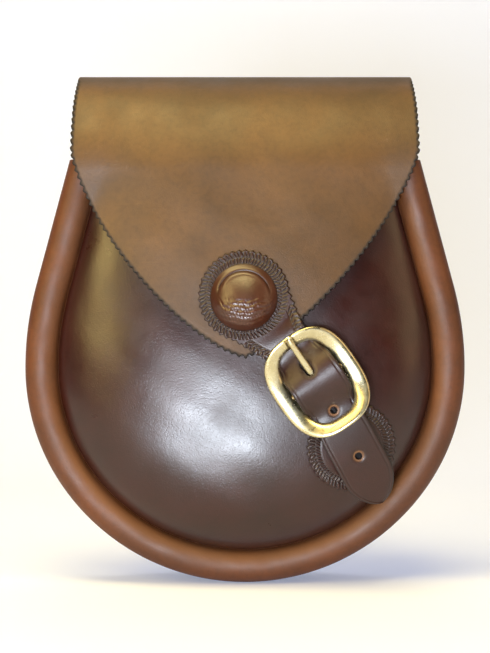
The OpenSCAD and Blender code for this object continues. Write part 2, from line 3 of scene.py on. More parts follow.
import bmesh
import bpy
import numpy as np
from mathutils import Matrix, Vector

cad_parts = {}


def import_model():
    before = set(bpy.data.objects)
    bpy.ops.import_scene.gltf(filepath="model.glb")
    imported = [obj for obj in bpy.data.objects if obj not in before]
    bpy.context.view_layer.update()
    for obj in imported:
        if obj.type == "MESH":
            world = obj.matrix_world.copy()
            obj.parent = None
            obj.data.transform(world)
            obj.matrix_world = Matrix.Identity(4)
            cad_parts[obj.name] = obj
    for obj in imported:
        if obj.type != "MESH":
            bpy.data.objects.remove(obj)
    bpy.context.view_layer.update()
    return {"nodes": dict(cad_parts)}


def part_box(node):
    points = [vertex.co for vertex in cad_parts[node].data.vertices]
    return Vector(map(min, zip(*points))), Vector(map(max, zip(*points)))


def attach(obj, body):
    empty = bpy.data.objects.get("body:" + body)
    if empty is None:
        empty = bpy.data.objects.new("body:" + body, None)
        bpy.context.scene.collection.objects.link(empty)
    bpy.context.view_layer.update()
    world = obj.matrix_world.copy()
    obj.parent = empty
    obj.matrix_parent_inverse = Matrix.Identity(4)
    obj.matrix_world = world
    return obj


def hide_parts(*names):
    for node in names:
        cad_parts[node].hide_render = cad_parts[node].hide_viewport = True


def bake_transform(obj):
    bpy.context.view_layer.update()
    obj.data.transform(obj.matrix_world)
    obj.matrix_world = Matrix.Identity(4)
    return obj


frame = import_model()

# Shapes are worked out in millimetres as [x, depth, height]: depth is counted forward from
# the belt passage and height up from the bottom of the bag.
MM = 0.001


def node_box(node):
    low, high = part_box(node)
    return np.array(low) / MM, np.array(high) / MM


welt_low, welt_high = node_box("welt_cover")
flap_low, flap_high = node_box("flap")
_, back_high = node_box("back_panel")
BELT_LINE = -welt_low[2]
HALF_W = welt_high[0]
RIM_D = -(welt_low[1] + welt_high[1]) / 2
BACK_D = -back_high[1]
FOLD_H = flap_high[2] + BELT_LINE
TIP_H = flap_low[2] + BELT_LINE - 0.4
PANEL_TOP = back_high[2] + BELT_LINE
FLAP_W = flap_high[0] * 2
FOLD_HALF = 86.0

# Sizes of the leather and of the moulded shape
LEATHER = 3.0
ROLL_R = 8.25
GAP = 0.3
SEAM_LIP = 8
BELLY_H = 108.0
SIDE_TAPER = math.radians(15)
SIDE_RADIUS = 105.0
UPPER_RADIUS = 158.0
DOME_RISE = 28.0
DOME_H = 68.0
MOUTH_H = 207.0
MOUTH_SHARE = 0.34
SHOULDER_H = 216.0
FULL_LEFT = 1.4
FULL_RIGHT = 1.3
PINK_PITCH = 3.7
PINK_DEPTH = 1.25

# Places of the closure on the front, [x, height]
UPPER_AT = np.array([-0.5, 143.5])
BAR_AT = np.array([34.5, 102.0])
LOWER_AT = np.array([52.0, 70.0])
STRAP_TURN = math.atan2(UPPER_AT[1] - BAR_AT[1], BAR_AT[0] - UPPER_AT[0])
TAIL_TURN = math.atan2(BAR_AT[1] - LOWER_AT[1], LOWER_AT[0] - BAR_AT[0])
BUCKLE_TURN = (STRAP_TURN + TAIL_TURN) / 2
STRAP_W = 25.0
STRAP_T = 2.6
CHAPE_T = 1.8
CHAPE_W = 21.0
ROSETTE_R = 22.0
BUTTON_RISE = 8.0
BAR_R = 1.6
BAR_LIFT = 6.4
HOLE_PITCH = 25.4
HOLE_R = 1.75
SLOT_R = 2.1
TONGUE_HOLE = -9.5


# ---- camera ----

def make_camera():
    """The camera stands straight in front, at the height of the bag's middle."""
    distance = 0.725
    view_h = 128.5
    frame_tall = 326.5
    data = bpy.data.cameras.new("camera")
    data.sensor_width = 36.0
    data.lens = data.sensor_width * distance / (frame_tall * MM)
    camera = bpy.data.objects.new("camera", data)
    camera.location = (0, -(RIM_D + 5) * MM - distance, (view_h - BELT_LINE) * MM)
    camera.rotation_euler = (math.radians(90), 0, 0)
    bpy.context.scene.collection.objects.link(camera)
    bpy.context.scene.camera = camera


make_camera()


# ---- the bag's edge and its moulded faces ----

SIDE_R = SIDE_RADIUS - ROLL_R
SIDE_X = HALF_W - SIDE_RADIUS
BOTTOM_C = (SIDE_X ** 2 + BELLY_H ** 2 - SIDE_RADIUS ** 2) / (2 * (BELLY_H - SIDE_RADIUS))
BOTTOM_R = BOTTOM_C - ROLL_R
BOTTOM_TURN = math.pi / 2 - math.atan2(BOTTOM_C - BELLY_H, SIDE_X)
UPPER_R = UPPER_RADIUS - ROLL_R
UPPER_X = HALF_W - UPPER_RADIUS
ROLL_TOP = SHOULDER_H - 4
PANEL_N = ROLL_R + GAP


def upper_end(n):
    return (
        UPPER_X + (UPPER_R - n) * math.cos(SIDE_TAPER),
        BELLY_H + (UPPER_R - n) * math.sin(SIDE_TAPER),
    )


def edge_x(h, n):
    """Half width, at heights h, of the line that lies n inside the roll's centre line."""
    h = np.asarray(h, float)
    end_x, end_h = upper_end(n)
    bottom = np.sqrt(np.maximum(0, (BOTTOM_R - n) ** 2 - (BOTTOM_C - h) ** 2))
    side = SIDE_X + np.sqrt(np.maximum(0, (SIDE_R - n) ** 2 - (BELLY_H - h) ** 2))
    upper = UPPER_X + np.sqrt(np.maximum(0, (UPPER_R - n) ** 2 - (h - BELLY_H) ** 2))
    straight = end_x - (h - end_h) * math.tan(SIDE_TAPER)
    low = BOTTOM_C - (BOTTOM_R - n) * math.cos(BOTTOM_TURN)
    return np.where(h < low, bottom, np.where(h < BELLY_H, side, np.where(h < end_h, upper, straight)))


def side_points(n, top, fine):
    """[x, height] from the middle of the bottom up the right side to a height of top."""
    steps = [int(26 * fine), int(14 * fine), int(10 * fine), int(14 * fine)]
    a = np.linspace(0, BOTTOM_TURN, steps[0], endpoint=False)
    b = np.linspace(BOTTOM_TURN, math.pi / 2, steps[1], endpoint=False)
    c = np.linspace(0, SIDE_TAPER, steps[2], endpoint=False)
    h = np.linspace(upper_end(n)[1], top, steps[3])
    return np.concatenate([
        np.stack([(BOTTOM_R - n) * np.sin(a), BOTTOM_C - (BOTTOM_R - n) * np.cos(a)], 1),
        np.stack([SIDE_X + (SIDE_R - n) * np.sin(b), BELLY_H - (SIDE_R - n) * np.cos(b)], 1),
        np.stack([UPPER_X + (UPPER_R - n) * np.cos(c), BELLY_H + (UPPER_R - n) * np.sin(c)], 1),
        np.stack([edge_x(h, n), h], 1),
    ])


def edge_points(n, top, fine=3):
    """The same line from the top left, round the bottom, to the top right."""
    side = side_points(n, top, fine)
    left = side[:0:-1] * [-1, 1]
    return np.concatenate([left, side])


def swell_up(h, n):
    low = BOTTOM_C - BOTTOM_R + n
    below = np.maximum(0, 1 - np.abs((DOME_H - h) / (DOME_H - low)) ** 2.2) ** 0.52
    above = 1 - (1 - MOUTH_SHARE) * np.maximum(0, (h - DOME_H) / (MOUTH_H - DOME_H)) ** 1.6
    return np.where(h < DOME_H, below, above)


def swell(x, h, n, power=2.3, root=0.55):
    across = np.maximum(0, 1 - np.abs(x / np.maximum(edge_x(h, n), 0.01)) ** power) ** root
    return DOME_RISE * swell_up(h, n) * across


def panel_depth(x, h):
    return RIM_D + LEATHER / 2 + swell(x, h, PANEL_N)


def flap_depth(x, h):
    over_roll = ROLL_R - LEATHER / 2 + GAP
    rise = swell(x, h, PANEL_N, 2.8, 0.5)
    return RIM_D + LEATHER / 2 + 2 * GAP + (rise ** 4 + over_roll ** 4) ** 0.25


bar_low, bar_high = node_box("centre_bar")
STRAP_D = -(bar_low[1] + bar_high[1]) / 2 - BAR_LIFT


def ripple(x, h):
    """The slow unevenness of leather shaped by hand, within about a third of a millimetre."""
    return (
        0.16 * np.sin(x / 9.7 + 1.3 + np.sin(h / 21))
        + 0.14 * np.sin(h / 12.3 + 0.4 + 1.4 * np.sin(x / 26))
        + 0.10 * np.sin((x + 1.6 * h) / 7.9)
    )


def smooth(t):
    t = np.clip(t, 0, 1)
    return t * t * (3 - 2 * t)


# ---- meshes ----

def world(p):
    """[x, depth, height] in millimetres to Blender's metres."""
    p = np.asarray(p, float)
    return np.stack([p[..., 0], -p[..., 1], p[..., 2] - BELT_LINE], -1) * MM


def make_object(name, points, faces, values=None, uvs=None):
    mesh = bpy.data.meshes.new(name)
    mesh.from_pydata(world(points).reshape(-1, 3).tolist(), [], faces)
    mesh.validate()
    for key, value in (values or {}).items():
        layer = mesh.attributes.new(key, "FLOAT", "POINT")
        layer.data.foreach_set("value", np.asarray(value, np.float32).ravel())
    if uvs is not None:
        flat = np.asarray(uvs, np.float32).reshape(-1, 2)
        index = np.zeros(len(mesh.loops), np.int32)
        mesh.loops.foreach_get("vertex_index", index)
        mesh.uv_layers.new(name="run").data.foreach_set("uv", flat[index].ravel())
    mesh.polygons.foreach_set("use_smooth", [True] * len(mesh.polygons))
    obj = bpy.data.objects.new(name, mesh)
    bpy.context.scene.collection.objects.link(obj)
    return obj


def grid_faces(rows, cols, wrap=False, skip=None):
    faces = []
    for i in range(rows - 1):
        for j in range(cols if wrap else cols - 1):
            if skip is not None and skip[i, j]:
                continue
            m = (j + 1) % cols
            faces.append((i * cols + j, i * cols + m, (i + 1) * cols + m, (i + 1) * cols + j))
    return faces


def closed_faces(rows, cols):
    """The faces of rings in a row, with a flat face over each end."""
    ends = [tuple(range(cols))[::-1], tuple(range(rows * cols - cols, rows * cols))]
    return grid_faces(rows, cols, wrap=True) + ends


def ring_faces(cols, sides):
    """The faces of a closed ring of cols sections, each with a number of sides."""
    faces = []
    for i in range(cols):
        for j in range(sides):
            m, n = (i + 1) % cols, (j + 1) % sides
            faces.append((i * sides + j, m * sides + j, m * sides + n, i * sides + n)[::-1])
    return faces


def apply_all(obj):
    """Turns the object's modifiers into its mesh."""
    graph = bpy.context.evaluated_depsgraph_get()
    mesh = bpy.data.meshes.new_from_object(obj.evaluated_get(graph))
    obj.modifiers.clear()
    obj.data = mesh
    return obj


def thicken(obj, thickness, bevel=0.45, side=0.0, steps=2, sides=None):
    """Gives a sheet its thickness, with rounded edges. A side of 0 grows it both ways.

    sides are the materials of the face that its normals point from, and of the other face."""
    solid = obj.modifiers.new("solid", "SOLIDIFY")
    for material in sides or ():
        obj.data.materials.append(material)
    solid.material_offset = 1 if sides else 0
    solid.thickness = thickness * MM
    solid.offset = side
    solid.use_even_offset = False
    if bevel:
        edge = obj.modifiers.new("edge", "BEVEL")
        edge.width = bevel * MM
        edge.segments = steps
        edge.limit_method = "ANGLE"
        edge.angle_limit = math.radians(50)
        edge.use_clamp_overlap = True
    return apply_all(obj)


def face_outwards(obj):
    """Joins points that coincide, and makes every face of a closed piece point out of it."""
    work = bmesh.new()
    work.from_mesh(obj.data)
    bmesh.ops.remove_doubles(work, verts=work.verts, dist=0.001 * MM)
    bmesh.ops.recalc_face_normals(work, faces=work.faces)
    work.to_mesh(obj.data)
    work.free()


def join(name, parts):
    """Joins finished meshes into one piece."""
    bpy.ops.object.select_all(action="DESELECT")
    for part in parts:
        part.select_set(True)
    bpy.context.view_layer.objects.active = parts[0]
    bpy.ops.object.join()
    parts[0].name = name
    parts[0].data.name = name
    return parts[0]


def arc_length(points):
    step = np.linalg.norm(np.diff(points, axis=0), axis=1)
    return np.concatenate([[0], np.cumsum(step)])


def resample(points, spacing):
    """The same line with its points evenly spaced."""
    length = arc_length(points)
    count = max(3, int(round(length[-1] / spacing)) + 1)
    at = np.linspace(0, length[-1], count)
    return np.stack([np.interp(at, length, points[:, k]) for k in range(points.shape[1])], 1)


def normals_2d(points):
    """Unit vectors to the left of an open line's direction."""
    way = np.gradient(points, axis=0)
    way /= np.linalg.norm(way, axis=1)[:, None]
    return np.stack([-way[:, 1], way[:, 0]], 1)


# ---- materials ----

class Shader:
    """A short way to build a material's nodes."""

    def __init__(self, name, roughness, **sockets):
        self.material = bpy.data.materials.new(name)
        self.material.use_nodes = True
        self.tree = self.material.node_tree
        self.main = self.tree.nodes["Principled BSDF"]
        self.main.inputs["Roughness"].default_value = roughness
        for key, value in sockets.items():
            self.main.inputs[key.replace("_", " ")].default_value = value
        self.place = self.node("ShaderNodeTexCoord").outputs["Object"]

    def node(self, kind, **settings):
        made = self.tree.nodes.new(kind)
        for key, value in settings.items():
            setattr(made, key, value)
        return made

    def link(self, a, b):
        self.tree.links.new(a, b)

    def noise(self, scale, detail=4, rough=0.55, place=None, distortion=0.0):
        made = self.node("ShaderNodeTexNoise")
        made.inputs["Scale"].default_value = scale
        made.inputs["Detail"].default_value = detail
        made.inputs["Roughness"].default_value = rough
        made.inputs["Distortion"].default_value = distortion
        self.link(place or self.place, made.inputs["Vector"])
        return made.outputs["Fac"]

    def cells(self, scale, feature="F1", place=None):
        made = self.node("ShaderNodeTexVoronoi", feature=feature)
        made.inputs["Scale"].default_value = scale
        self.link(place or self.place, made.inputs["Vector"])
        return made.outputs["Distance"]

    def stretched(self, x, y, z, turn=0.0):
        made = self.node("ShaderNodeMapping")
        made.inputs["Scale"].default_value = (x, y, z)
        made.inputs["Rotation"].default_value = (0, turn, 0)
        self.link(self.place, made.inputs["Vector"])
        return made.outputs["Vector"]

    def ramp(self, value, *stops):
        made = self.node("ShaderNodeValToRGB")
        band = made.color_ramp
        while len(band.elements) < len(stops):
            band.elements.new(0.5)
        for element, (at, colour) in zip(band.elements, stops):
            element.position = at
            element.color = (*colour, 1)
        self.link(value, made.inputs["Fac"])
        return made.outputs["Color"]

    def level(self, value, low, high, to_low, to_high):
        made = self.node("ShaderNodeMapRange")
        for key, number in zip(("From Min", "From Max", "To Min", "To Max"), (low, high, to_low, to_high)):
            made.inputs[key].default_value = number
        self.link(value, made.inputs["Value"])
        return made.outputs["Result"]

    def math(self, kind, a, b):
        made = self.node("ShaderNodeMath", operation=kind)
        for socket, value in zip(made.inputs, (a, b)):
            if isinstance(value, (int, float)):
                socket.default_value = value
            else:
                self.link(value, socket)
        return made.outputs["Value"]

    def mix(self, share, a, b, kind="MIX"):
        made = self.node("ShaderNodeMix", data_type="RGBA", blend_type=kind)
        for socket, value in zip((made.inputs[0], made.inputs[6], made.inputs[7]), (share, a, b)):
            if isinstance(value, tuple):
                socket.default_value = (*value, 1)
            elif isinstance(value, (int, float)):
                socket.default_value = value
            else:
                self.link(value, socket)
        return made.outputs[2]

    def value(self, key):
        return self.node("ShaderNodeAttribute", attribute_name=key).outputs["Fac"]

    def bump(self, height, strength, distance, under=None):
        made = self.node("ShaderNodeBump")
        made.inputs["Strength"].default_value = strength
        made.inputs["Distance"].default_value = distance * MM
        self.link(height, made.inputs["Height"])
        if under is not None:
            self.link(under, made.inputs["Normal"])
        return made.outputs["Normal"]

    def finish(self, colour=None, rough=None, normal=None):
        for key, value in (("Base Color", colour), ("Roughness", rough), ("Normal", normal)):
            if value is not None:
                self.link(value, self.main.inputs[key])
        return self.material


def shade(colour, by):
    return tuple(c * by for c in colour)


def leather(name, colour, rough=0.4, coat=0.25, bare_and_painted_light=(0.20, 0.085, 0.028)):
    """Burnished vegetable-tanned leather: mottled dye, pores, faint scratches, dark edges, and the painted
    shade and painted light that the pieces' layers carry.
    """
    s = Shader(name, rough, Coat_Weight=coat, Coat_Roughness=0.28, IOR=1.45)
    cloud = s.noise(22, 6, 0.6, distortion=0.4)
    dye = s.ramp(cloud, (0.3, shade(colour, 0.68)), (0.52, colour), (0.74, shade(colour, 1.38)))
    fleck = s.level(s.noise(420, 3, 0.6), 0.35, 0.7, 0.86, 1.1)
    dye = s.mix(1.0, dye, s.ramp(fleck, (0.0, (0, 0, 0)), (1.0, (1, 1, 1))), "MULTIPLY")
    scratch = s.level(s.noise(1.0, 3, 0.5, s.stretched(60, 60, 900, 0.7)), 0.66, 0.78, 0, 1)
    dye = s.mix(s.math("MULTIPLY", scratch, 0.22), dye, shade(colour, 1.9))
    # the edge layer darkens the burnished cut edges, and also carries painted shade in stamped pits,
    # creases and holes and over the flap's fold and right side; the lighter layer shows bare leather round
    # the strap's holes, and is painted light on the roll's inner face
    dark = s.value("edge")
    dye = s.mix(dark, dye, (0.007, 0.0035, 0.0025))
    dye = s.mix(s.value("bare_and_painted_light"), dye, bare_and_painted_light)
    pores = s.level(s.cells(1150), 0.0, 0.5, 0, 1)
    skin = s.bump(pores, 0.35, 0.10)
    skin = s.bump(s.noise(620, 5, 0.65), 0.45, 0.10, skin)
    skin = s.bump(s.noise(90, 4, 0.5, distortion=0.6), 0.35, 0.35, skin)
    skin = s.bump(scratch, -0.12, 0.04, skin)
    wear = s.level(s.noise(48, 5, 0.6), 0.3, 0.75, rough - 0.07, rough + 0.1)
    wear = s.math("ADD", wear, s.math("MULTIPLY", dark, 0.3))
    return s.finish(dye, wear, skin)


def flesh_leather(name, colour):
    """The rough flesh side of the leather, inside the bag."""
    s = Shader(name, 0.85, Specular_IOR_Level=0.25, Sheen_Weight=0.2)
    dye = s.ramp(s.noise(60, 6, 0.7), (0.3, shade(colour, 0.75)), (0.7, shade(colour, 1.25)))
    nap = s.bump(s.noise(900, 6, 0.75), 0.8, 0.35)
    return s.finish(dye, None, nap)


def brass(name, rough, tone, high):
    """Cast brass, polished in random patches, with fine scratches and slight tarnish."""
    s = Shader(name, rough, Metallic=1.0)
    tarnish = s.noise(130, 6, 0.65)
    colour = s.ramp(tarnish, (0.25, shade(tone, 0.85)), (0.5, tone), (0.8, high))
    wear = s.level(s.noise(300, 6, 0.7), 0.3, 0.75, rough - 0.06, rough + 0.12)
    face = s.bump(s.noise(190, 3, 0.5), 0.05, 0.25)
    face = s.bump(s.noise(1.0, 4, 0.6, s.stretched(2600, 500, 300)), 0.12, 0.04, face)
    return s.finish(colour, wear, face)


def thread(name, colour):
    """Waxed linen thread with its twist."""
    s = Shader(name, 0.6, Sheen_Weight=0.3)
    twist = s.node("ShaderNodeTexWave", wave_type="BANDS", bands_direction="DIAGONAL")
    twist.inputs["Scale"].default_value = 900
    twist.inputs["Distortion"].default_value = 1.5
    s.link(s.place, twist.inputs["Vector"])
    fibre = s.ramp(twist.outputs["Fac"], (0.2, shade(colour, 0.6)), (0.8, colour))
    return s.finish(fibre, None, s.bump(twist.outputs["Fac"], 0.6, 0.15))


def wood(name, colour):
    s = Shader(name, 0.55)
    ring = s.noise(1.0, 5, 0.6, s.stretched(60, 60, 900))
    return s.finish(s.ramp(ring, (0.35, shade(colour, 0.7)), (0.65, colour)), None, s.bump(ring, 0.2, 0.2))


def cotton(name, colour):
    s = Shader(name, 0.9, Sheen_Weight=0.3)
    strands = s.cells(700)
    tone = s.ramp(strands, (0.0, colour), (0.6, shade(colour, 0.6)))
    return s.finish(tone, None, s.bump(strands, 0.6, 0.3))


BODY = leather("leather_body", (0.020, 0.0030, 0.0018), 0.34, 0.2)
FLAP = leather("leather_flap", (0.070, 0.031, 0.0075), 0.51, 0.0)
WELT = leather("leather_welt", (0.074, 0.0195, 0.0038), 0.56, 0.0)
STRAP = leather("leather_strap", (0.022, 0.0042, 0.0024), 0.40, 0.12)
# the button's leather is a lighter, warmer copy of the strap's: painted light for its warm reflection
DOME = leather("leather_button", (0.042, 0.011, 0.0045), 0.35, 0.3)
INSIDE = flesh_leather("leather_inside", (0.22, 0.13, 0.075))
BUCKLE = brass("buckle_brass", 0.27, (0.60, 0.53, 0.33), (0.72, 0.68, 0.50))
RIVET = brass("rivet_brass", 0.3, (0.72, 0.48, 0.2), (0.80, 0.64, 0.38))
# the centre bar's brass is a much darker copy of the buckle's: painted shade for the bar under the strap
BAR = brass("bar_brass", 0.5, (0.16, 0.11, 0.05), (0.24, 0.17, 0.08))
THREAD = thread("waxed_thread", (0.30, 0.20, 0.11))
BLANK = wood("button_blank", (0.45, 0.3, 0.17))
CORE = cotton("cord_core", (0.62, 0.57, 0.48))


def dress(obj, material, body, slot, *nodes):
    """Gives a piece its material and the body it rides on, and hides the CAD nodes it stands for; its slot
    is not used.

    It also points its faces outwards. A body of None leaves the piece unattached. A piece that already has
    materials keeps them."""
    face_outwards(obj)
    if not obj.data.materials:
        obj.data.materials.append(material)
    if body:
        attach(obj, body)
    if nodes:
        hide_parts(*nodes)
    return obj


# ---- front panel ----

def pressed_line(x, h, start, end, width, depth):
    """A crease pressed in along a straight line."""
    a, b = np.array(start), np.array(end)
    way = (b - a) / np.linalg.norm(b - a)
    along = (x - a[0]) * way[0] + (h - a[1]) * way[1]
    off = np.abs((x - a[0]) * way[1] - (h - a[1]) * way[0])
    length = np.linalg.norm(b - a)
    ends = smooth(along / 4) * smooth((length - along) / 4)
    return depth * ends * np.exp(-(off / width) ** 2)


def dome_grid(n, base, rim, rings):
    share = np.sin(np.linspace(0.02, 1, rings) * math.pi / 2)[:, None]
    x = rim[None, :, 0] * share
    h = DOME_H + (rim[None, :, 1] - DOME_H) * share
    depth = base + swell(x, h, n)
    return x, h, depth, share + 0 * x


def front_panel():
    base = RIM_D + LEATHER / 2
    grids = []
    rings = 84
    for n, level in ((PANEL_N, base), (PANEL_N + LEATHER, base - LEATHER)):
        side = edge_points(n, MOUTH_H, 3)
        corner = float(edge_x(MOUTH_H, n))
        across = np.linspace(corner, -corner, 80)[1:-1]
        rim = np.concatenate([side, np.stack([across, 0 * across + MOUTH_H], 1)])
        grids.append(dome_grid(n, level, rim, rings))
    x, h, depth, share = grids[0]
    calm = smooth((1 - share) * 8)
    depth = depth + ripple(x, h) * calm
    depth = depth - pressed_line(x, h, (51, 53), (40, 40), 1.5, 0.35)
    depth = depth - pressed_line(x, h, (43, 49), (38, 36), 2.5, 0.25)
    outer = np.stack([x, depth, h], -1)
    x, h, level, _ = grids[1]
    inner = np.stack([x, level, h], -1)
    cols = outer.shape[1]
    mid_out = [[0, base + DOME_RISE + float(ripple(0, DOME_H)), DOME_H]]
    mid_in = [[0, base - LEATHER + DOME_RISE, DOME_H]]
    edge = smooth((share - 0.985) / 0.015) * (outer[..., 2] > MOUTH_H - 3)
    faces = grid_faces(rings, cols, wrap=True)
    shift = rings * cols
    faces += [tuple(shift + v for v in reversed(f)) for f in grid_faces(rings, cols, wrap=True)]
    last = (rings - 1) * cols
    for j in range(cols):
        m = (j + 1) % cols
        faces.append((last + j, last + m, shift + last + m, shift + last + j))
        faces.append((2 * shift, m, j))
        faces.append((2 * shift + 1, shift + j, shift + m))
    points = np.concatenate([outer.reshape(-1, 3), inner.reshape(-1, 3), mid_out, mid_in])
    values = {"edge": np.concatenate([edge.ravel() * 0.9, edge.ravel() * 0.9, [0, 0]])}
    panel = make_object("front_leather", points, faces, values)
    dress(panel, BODY, "bag", "leather_body", "front_panel")
    panel.data.materials.append(INSIDE)
    count = len(grid_faces(rings, cols, wrap=True))
    for index in range(count, 2 * count):
        panel.data.polygons[index].material_index = 1


# ---- welt ----

def edge_sweep(name, profile, tops, fine=3, bare_and_painted_light=None):
    """Sweeps profile points [outwards, depth] round the bag's edge, each up to its own height."""
    lines = []
    for (out, depth), top in zip(profile, tops):
        line = edge_points(-out, top, fine)
        lines.append(np.stack([line[:, 0], 0 * line[:, 0] + depth, line[:, 1]], 1))
    grid = np.stack(lines, 1)
    rows, cols = grid.shape[:2]
    run = arc_length(grid[:, 0])[:, None] + np.zeros((rows, cols))
    around = np.concatenate([[0], np.cumsum(np.hypot(*np.diff(np.array(profile), axis=0).T))])
    uvs = np.stack([run * MM, np.broadcast_to(around * MM, (rows, cols))], -1)
    faces = [tuple(reversed(f)) for f in grid_faces(rows, cols, wrap=True)]
    faces += [tuple(range(cols)), tuple(range((rows - 1) * cols, rows * cols))[::-1]]
    values = None
    if bare_and_painted_light is not None:
        # painted light: the roll's inner face is lightened, more round the bottom of the roll than up its
        # sides
        painted_light_share = 0.18 + 0.34 * smooth((110 - grid[..., 2]) / 90)
        values = {"bare_and_painted_light": bare_and_painted_light[None, :] * painted_light_share}
    return make_object(name, grid, faces, values, uvs)


def welt():
    flange = LEATHER / 2
    start = math.asin(flange / 2 / ROLL_R)
    angle = np.linspace(start - math.pi, math.pi - start, 46)
    ring = [(ROLL_R * math.cos(a), RIM_D + ROLL_R * math.sin(a)) for a in angle]
    inner = -ROLL_R - GAP - SEAM_LIP
    ring += [(inner, RIM_D + flange), (inner, RIM_D - flange)]
    # painted light: the roll's inner face is painted lighter and more orange
    facing = [math.exp(-((a - math.radians(125)) / math.radians(30)) ** 2) for a in angle] + [0, 0]
    roll = edge_sweep("welt_roll", ring, [ROLL_TOP] * len(ring), 4, np.array(facing))
    # the cord under the leather shows as slow lumps, and the leather puckers across its inner side
    data = roll.data
    points = np.zeros(len(data.vertices) * 3)
    data.vertices.foreach_get("co", points)
    points = points.reshape(-1, 3) / MM
    x, h = points[:, 0], points[:, 2] + BELT_LINE
    off = points[:, 1] + RIM_D
    lump = (
        0.13 * np.sin(x / 6.1 + h / 8.3)
        + 0.10 * np.sin(h / 4.1 - x / 13)
        + 0.05 * np.sin(x / 1.9 + h / 2.3)
    )
    points[:, 1] += np.sign(off) * lump * np.minimum(1, np.abs(off) / 4)
    data.vertices.foreach_set("co", points.ravel() * MM)
    return dress(roll, WELT, "bag", "leather_welt", "welt_cover")


# ---- gusset and seams ----

def gusset():
    rear = BACK_D + LEATHER
    front = RIM_D - LEATHER / 2
    out = -ROLL_R - GAP
    lip = SEAM_LIP
    top_rear = 236.0
    slope = (top_rear - MOUTH_H) / (front - rear)
    ring = [
        (out - LEATHER, rear), (out + lip, rear), (out + lip, rear + LEATHER), (out + 1.5, rear + LEATHER),
        (out + 0.4, rear + LEATHER + 0.4), (out, rear + LEATHER + 1.5), (out, front - 1), (out - 1, front),
        (out - lip, front), (out - lip, front - LEATHER), (out - LEATHER, front - LEATHER),
    ]
    tops = [top_rear - slope * (depth - rear) for _, depth in ring]
    side = edge_sweep("gusset_leather", ring, tops, 3)
    return dress(side, BODY, "bag", "leather_body", "gusset")


def binding():
    reach, thick = 1.4, 1.2
    inner = -ROLL_R - GAP - SEAM_LIP - reach
    rear = RIM_D - LEATHER * 1.5
    front = RIM_D + LEATHER / 2
    ring = [(inner, rear), (inner + thick, rear), (inner + thick, front), (inner, front)]
    strip = edge_sweep("seam_strip", ring, [ROLL_TOP - 4] * 4, 3)
    return dress(strip, WELT, "bag", "leather_welt", "seam_binding")


def stitch_row(name, path, normal, body, pitch=4.6, length=3.4, radius=0.42, sink=0.1):
    """A row of saddle stitches along path, [x, depth, height], lying on a face with a normal."""
    points = resample(np.array(path), pitch)
    up = np.array(normal, float)
    sides, rings = 6, 5
    verts, faces = [], []
    for a, b in zip(points[:-1], points[1:]):
        mid = (a + b) / 2
        way = (b - a) / np.linalg.norm(b - a)
        tilt = np.cross(up, way)
        way = way + 0.16 * tilt
        way /= np.linalg.norm(way)
        tilt = np.cross(up, way)
        first = len(verts)
        for k in range(rings):
            t = k / (rings - 1) * 2 - 1
            fat = radius * (1 - 0.75 * t ** 4)
            centre = mid + way * t * length / 2 + up * (radius * 0.55 * (1 - t ** 2) - sink)
            for j in range(sides):
                angle = 2 * math.pi * j / sides
                verts.append(centre + tilt * fat * math.cos(angle) + up * fat * math.sin(angle))
        faces += [tuple(first + v for v in f) for f in grid_faces(rings, sides, wrap=True)]
        faces.append(tuple(first + j for j in range(sides))[::-1])
        faces.append(tuple(first + (rings - 1) * sides + j for j in range(sides)))
    obj = make_object(name, np.array(verts), faces)
    return dress(obj, THREAD, body, "leather_strap")


# ---- back ----

def back_panel():
    edge = edge_points(1.5 - ROLL_R, SHOULDER_H, 3)
    left = [[-FOLD_HALF, PANEL_TOP], [-FOLD_HALF, SHOULDER_H + 4]]
    right = [[FOLD_HALF, SHOULDER_H + 4], [FOLD_HALF, PANEL_TOP]]
    line = resample(np.concatenate([left, edge, right]), 2.0)
    middle = np.array([0.0, 130.0])
    top = np.stack([np.linspace(FOLD_HALF, -FOLD_HALF, 60)[1:-1], np.full(58, PANEL_TOP)], 1)
    rim = np.concatenate([line, top])
    share = np.array([0.03, 0.2, 0.4, 0.6, 0.8, 0.92, 0.96, 0.98, 0.99, 1.0])[:, None]
    x = middle[0] + (rim[None, :, 0] - middle[0]) * share
    h = middle[1] + (rim[None, :, 1] - middle[1]) * share
    depth = BACK_D + LEATHER / 2 + 0 * x
    grid = np.stack([x, depth, h], -1)
    rows, cols = grid.shape[:2]
    faces = grid_faces(rows, cols, wrap=True) + [tuple(range(cols))[::-1]]
    dark = smooth((share - 0.97) / 0.02) * (h < PANEL_TOP - 3)
    panel = make_object("back_leather", grid, faces, {"edge": dark * 0.85})
    thicken(panel, LEATHER - 0.06, 0.6, sides=(FLAP, INSIDE))
    return dress(panel, FLAP, "bag", "leather_flap", "back_panel")


def back_stitches():
    line = edge_points(1.5 - ROLL_R + 4.2, SHOULDER_H - 2, 2)
    face = [[x, BACK_D, h] for x, h in line]
    return stitch_row("back_stitches", face, (0, -1, 0), "bag")


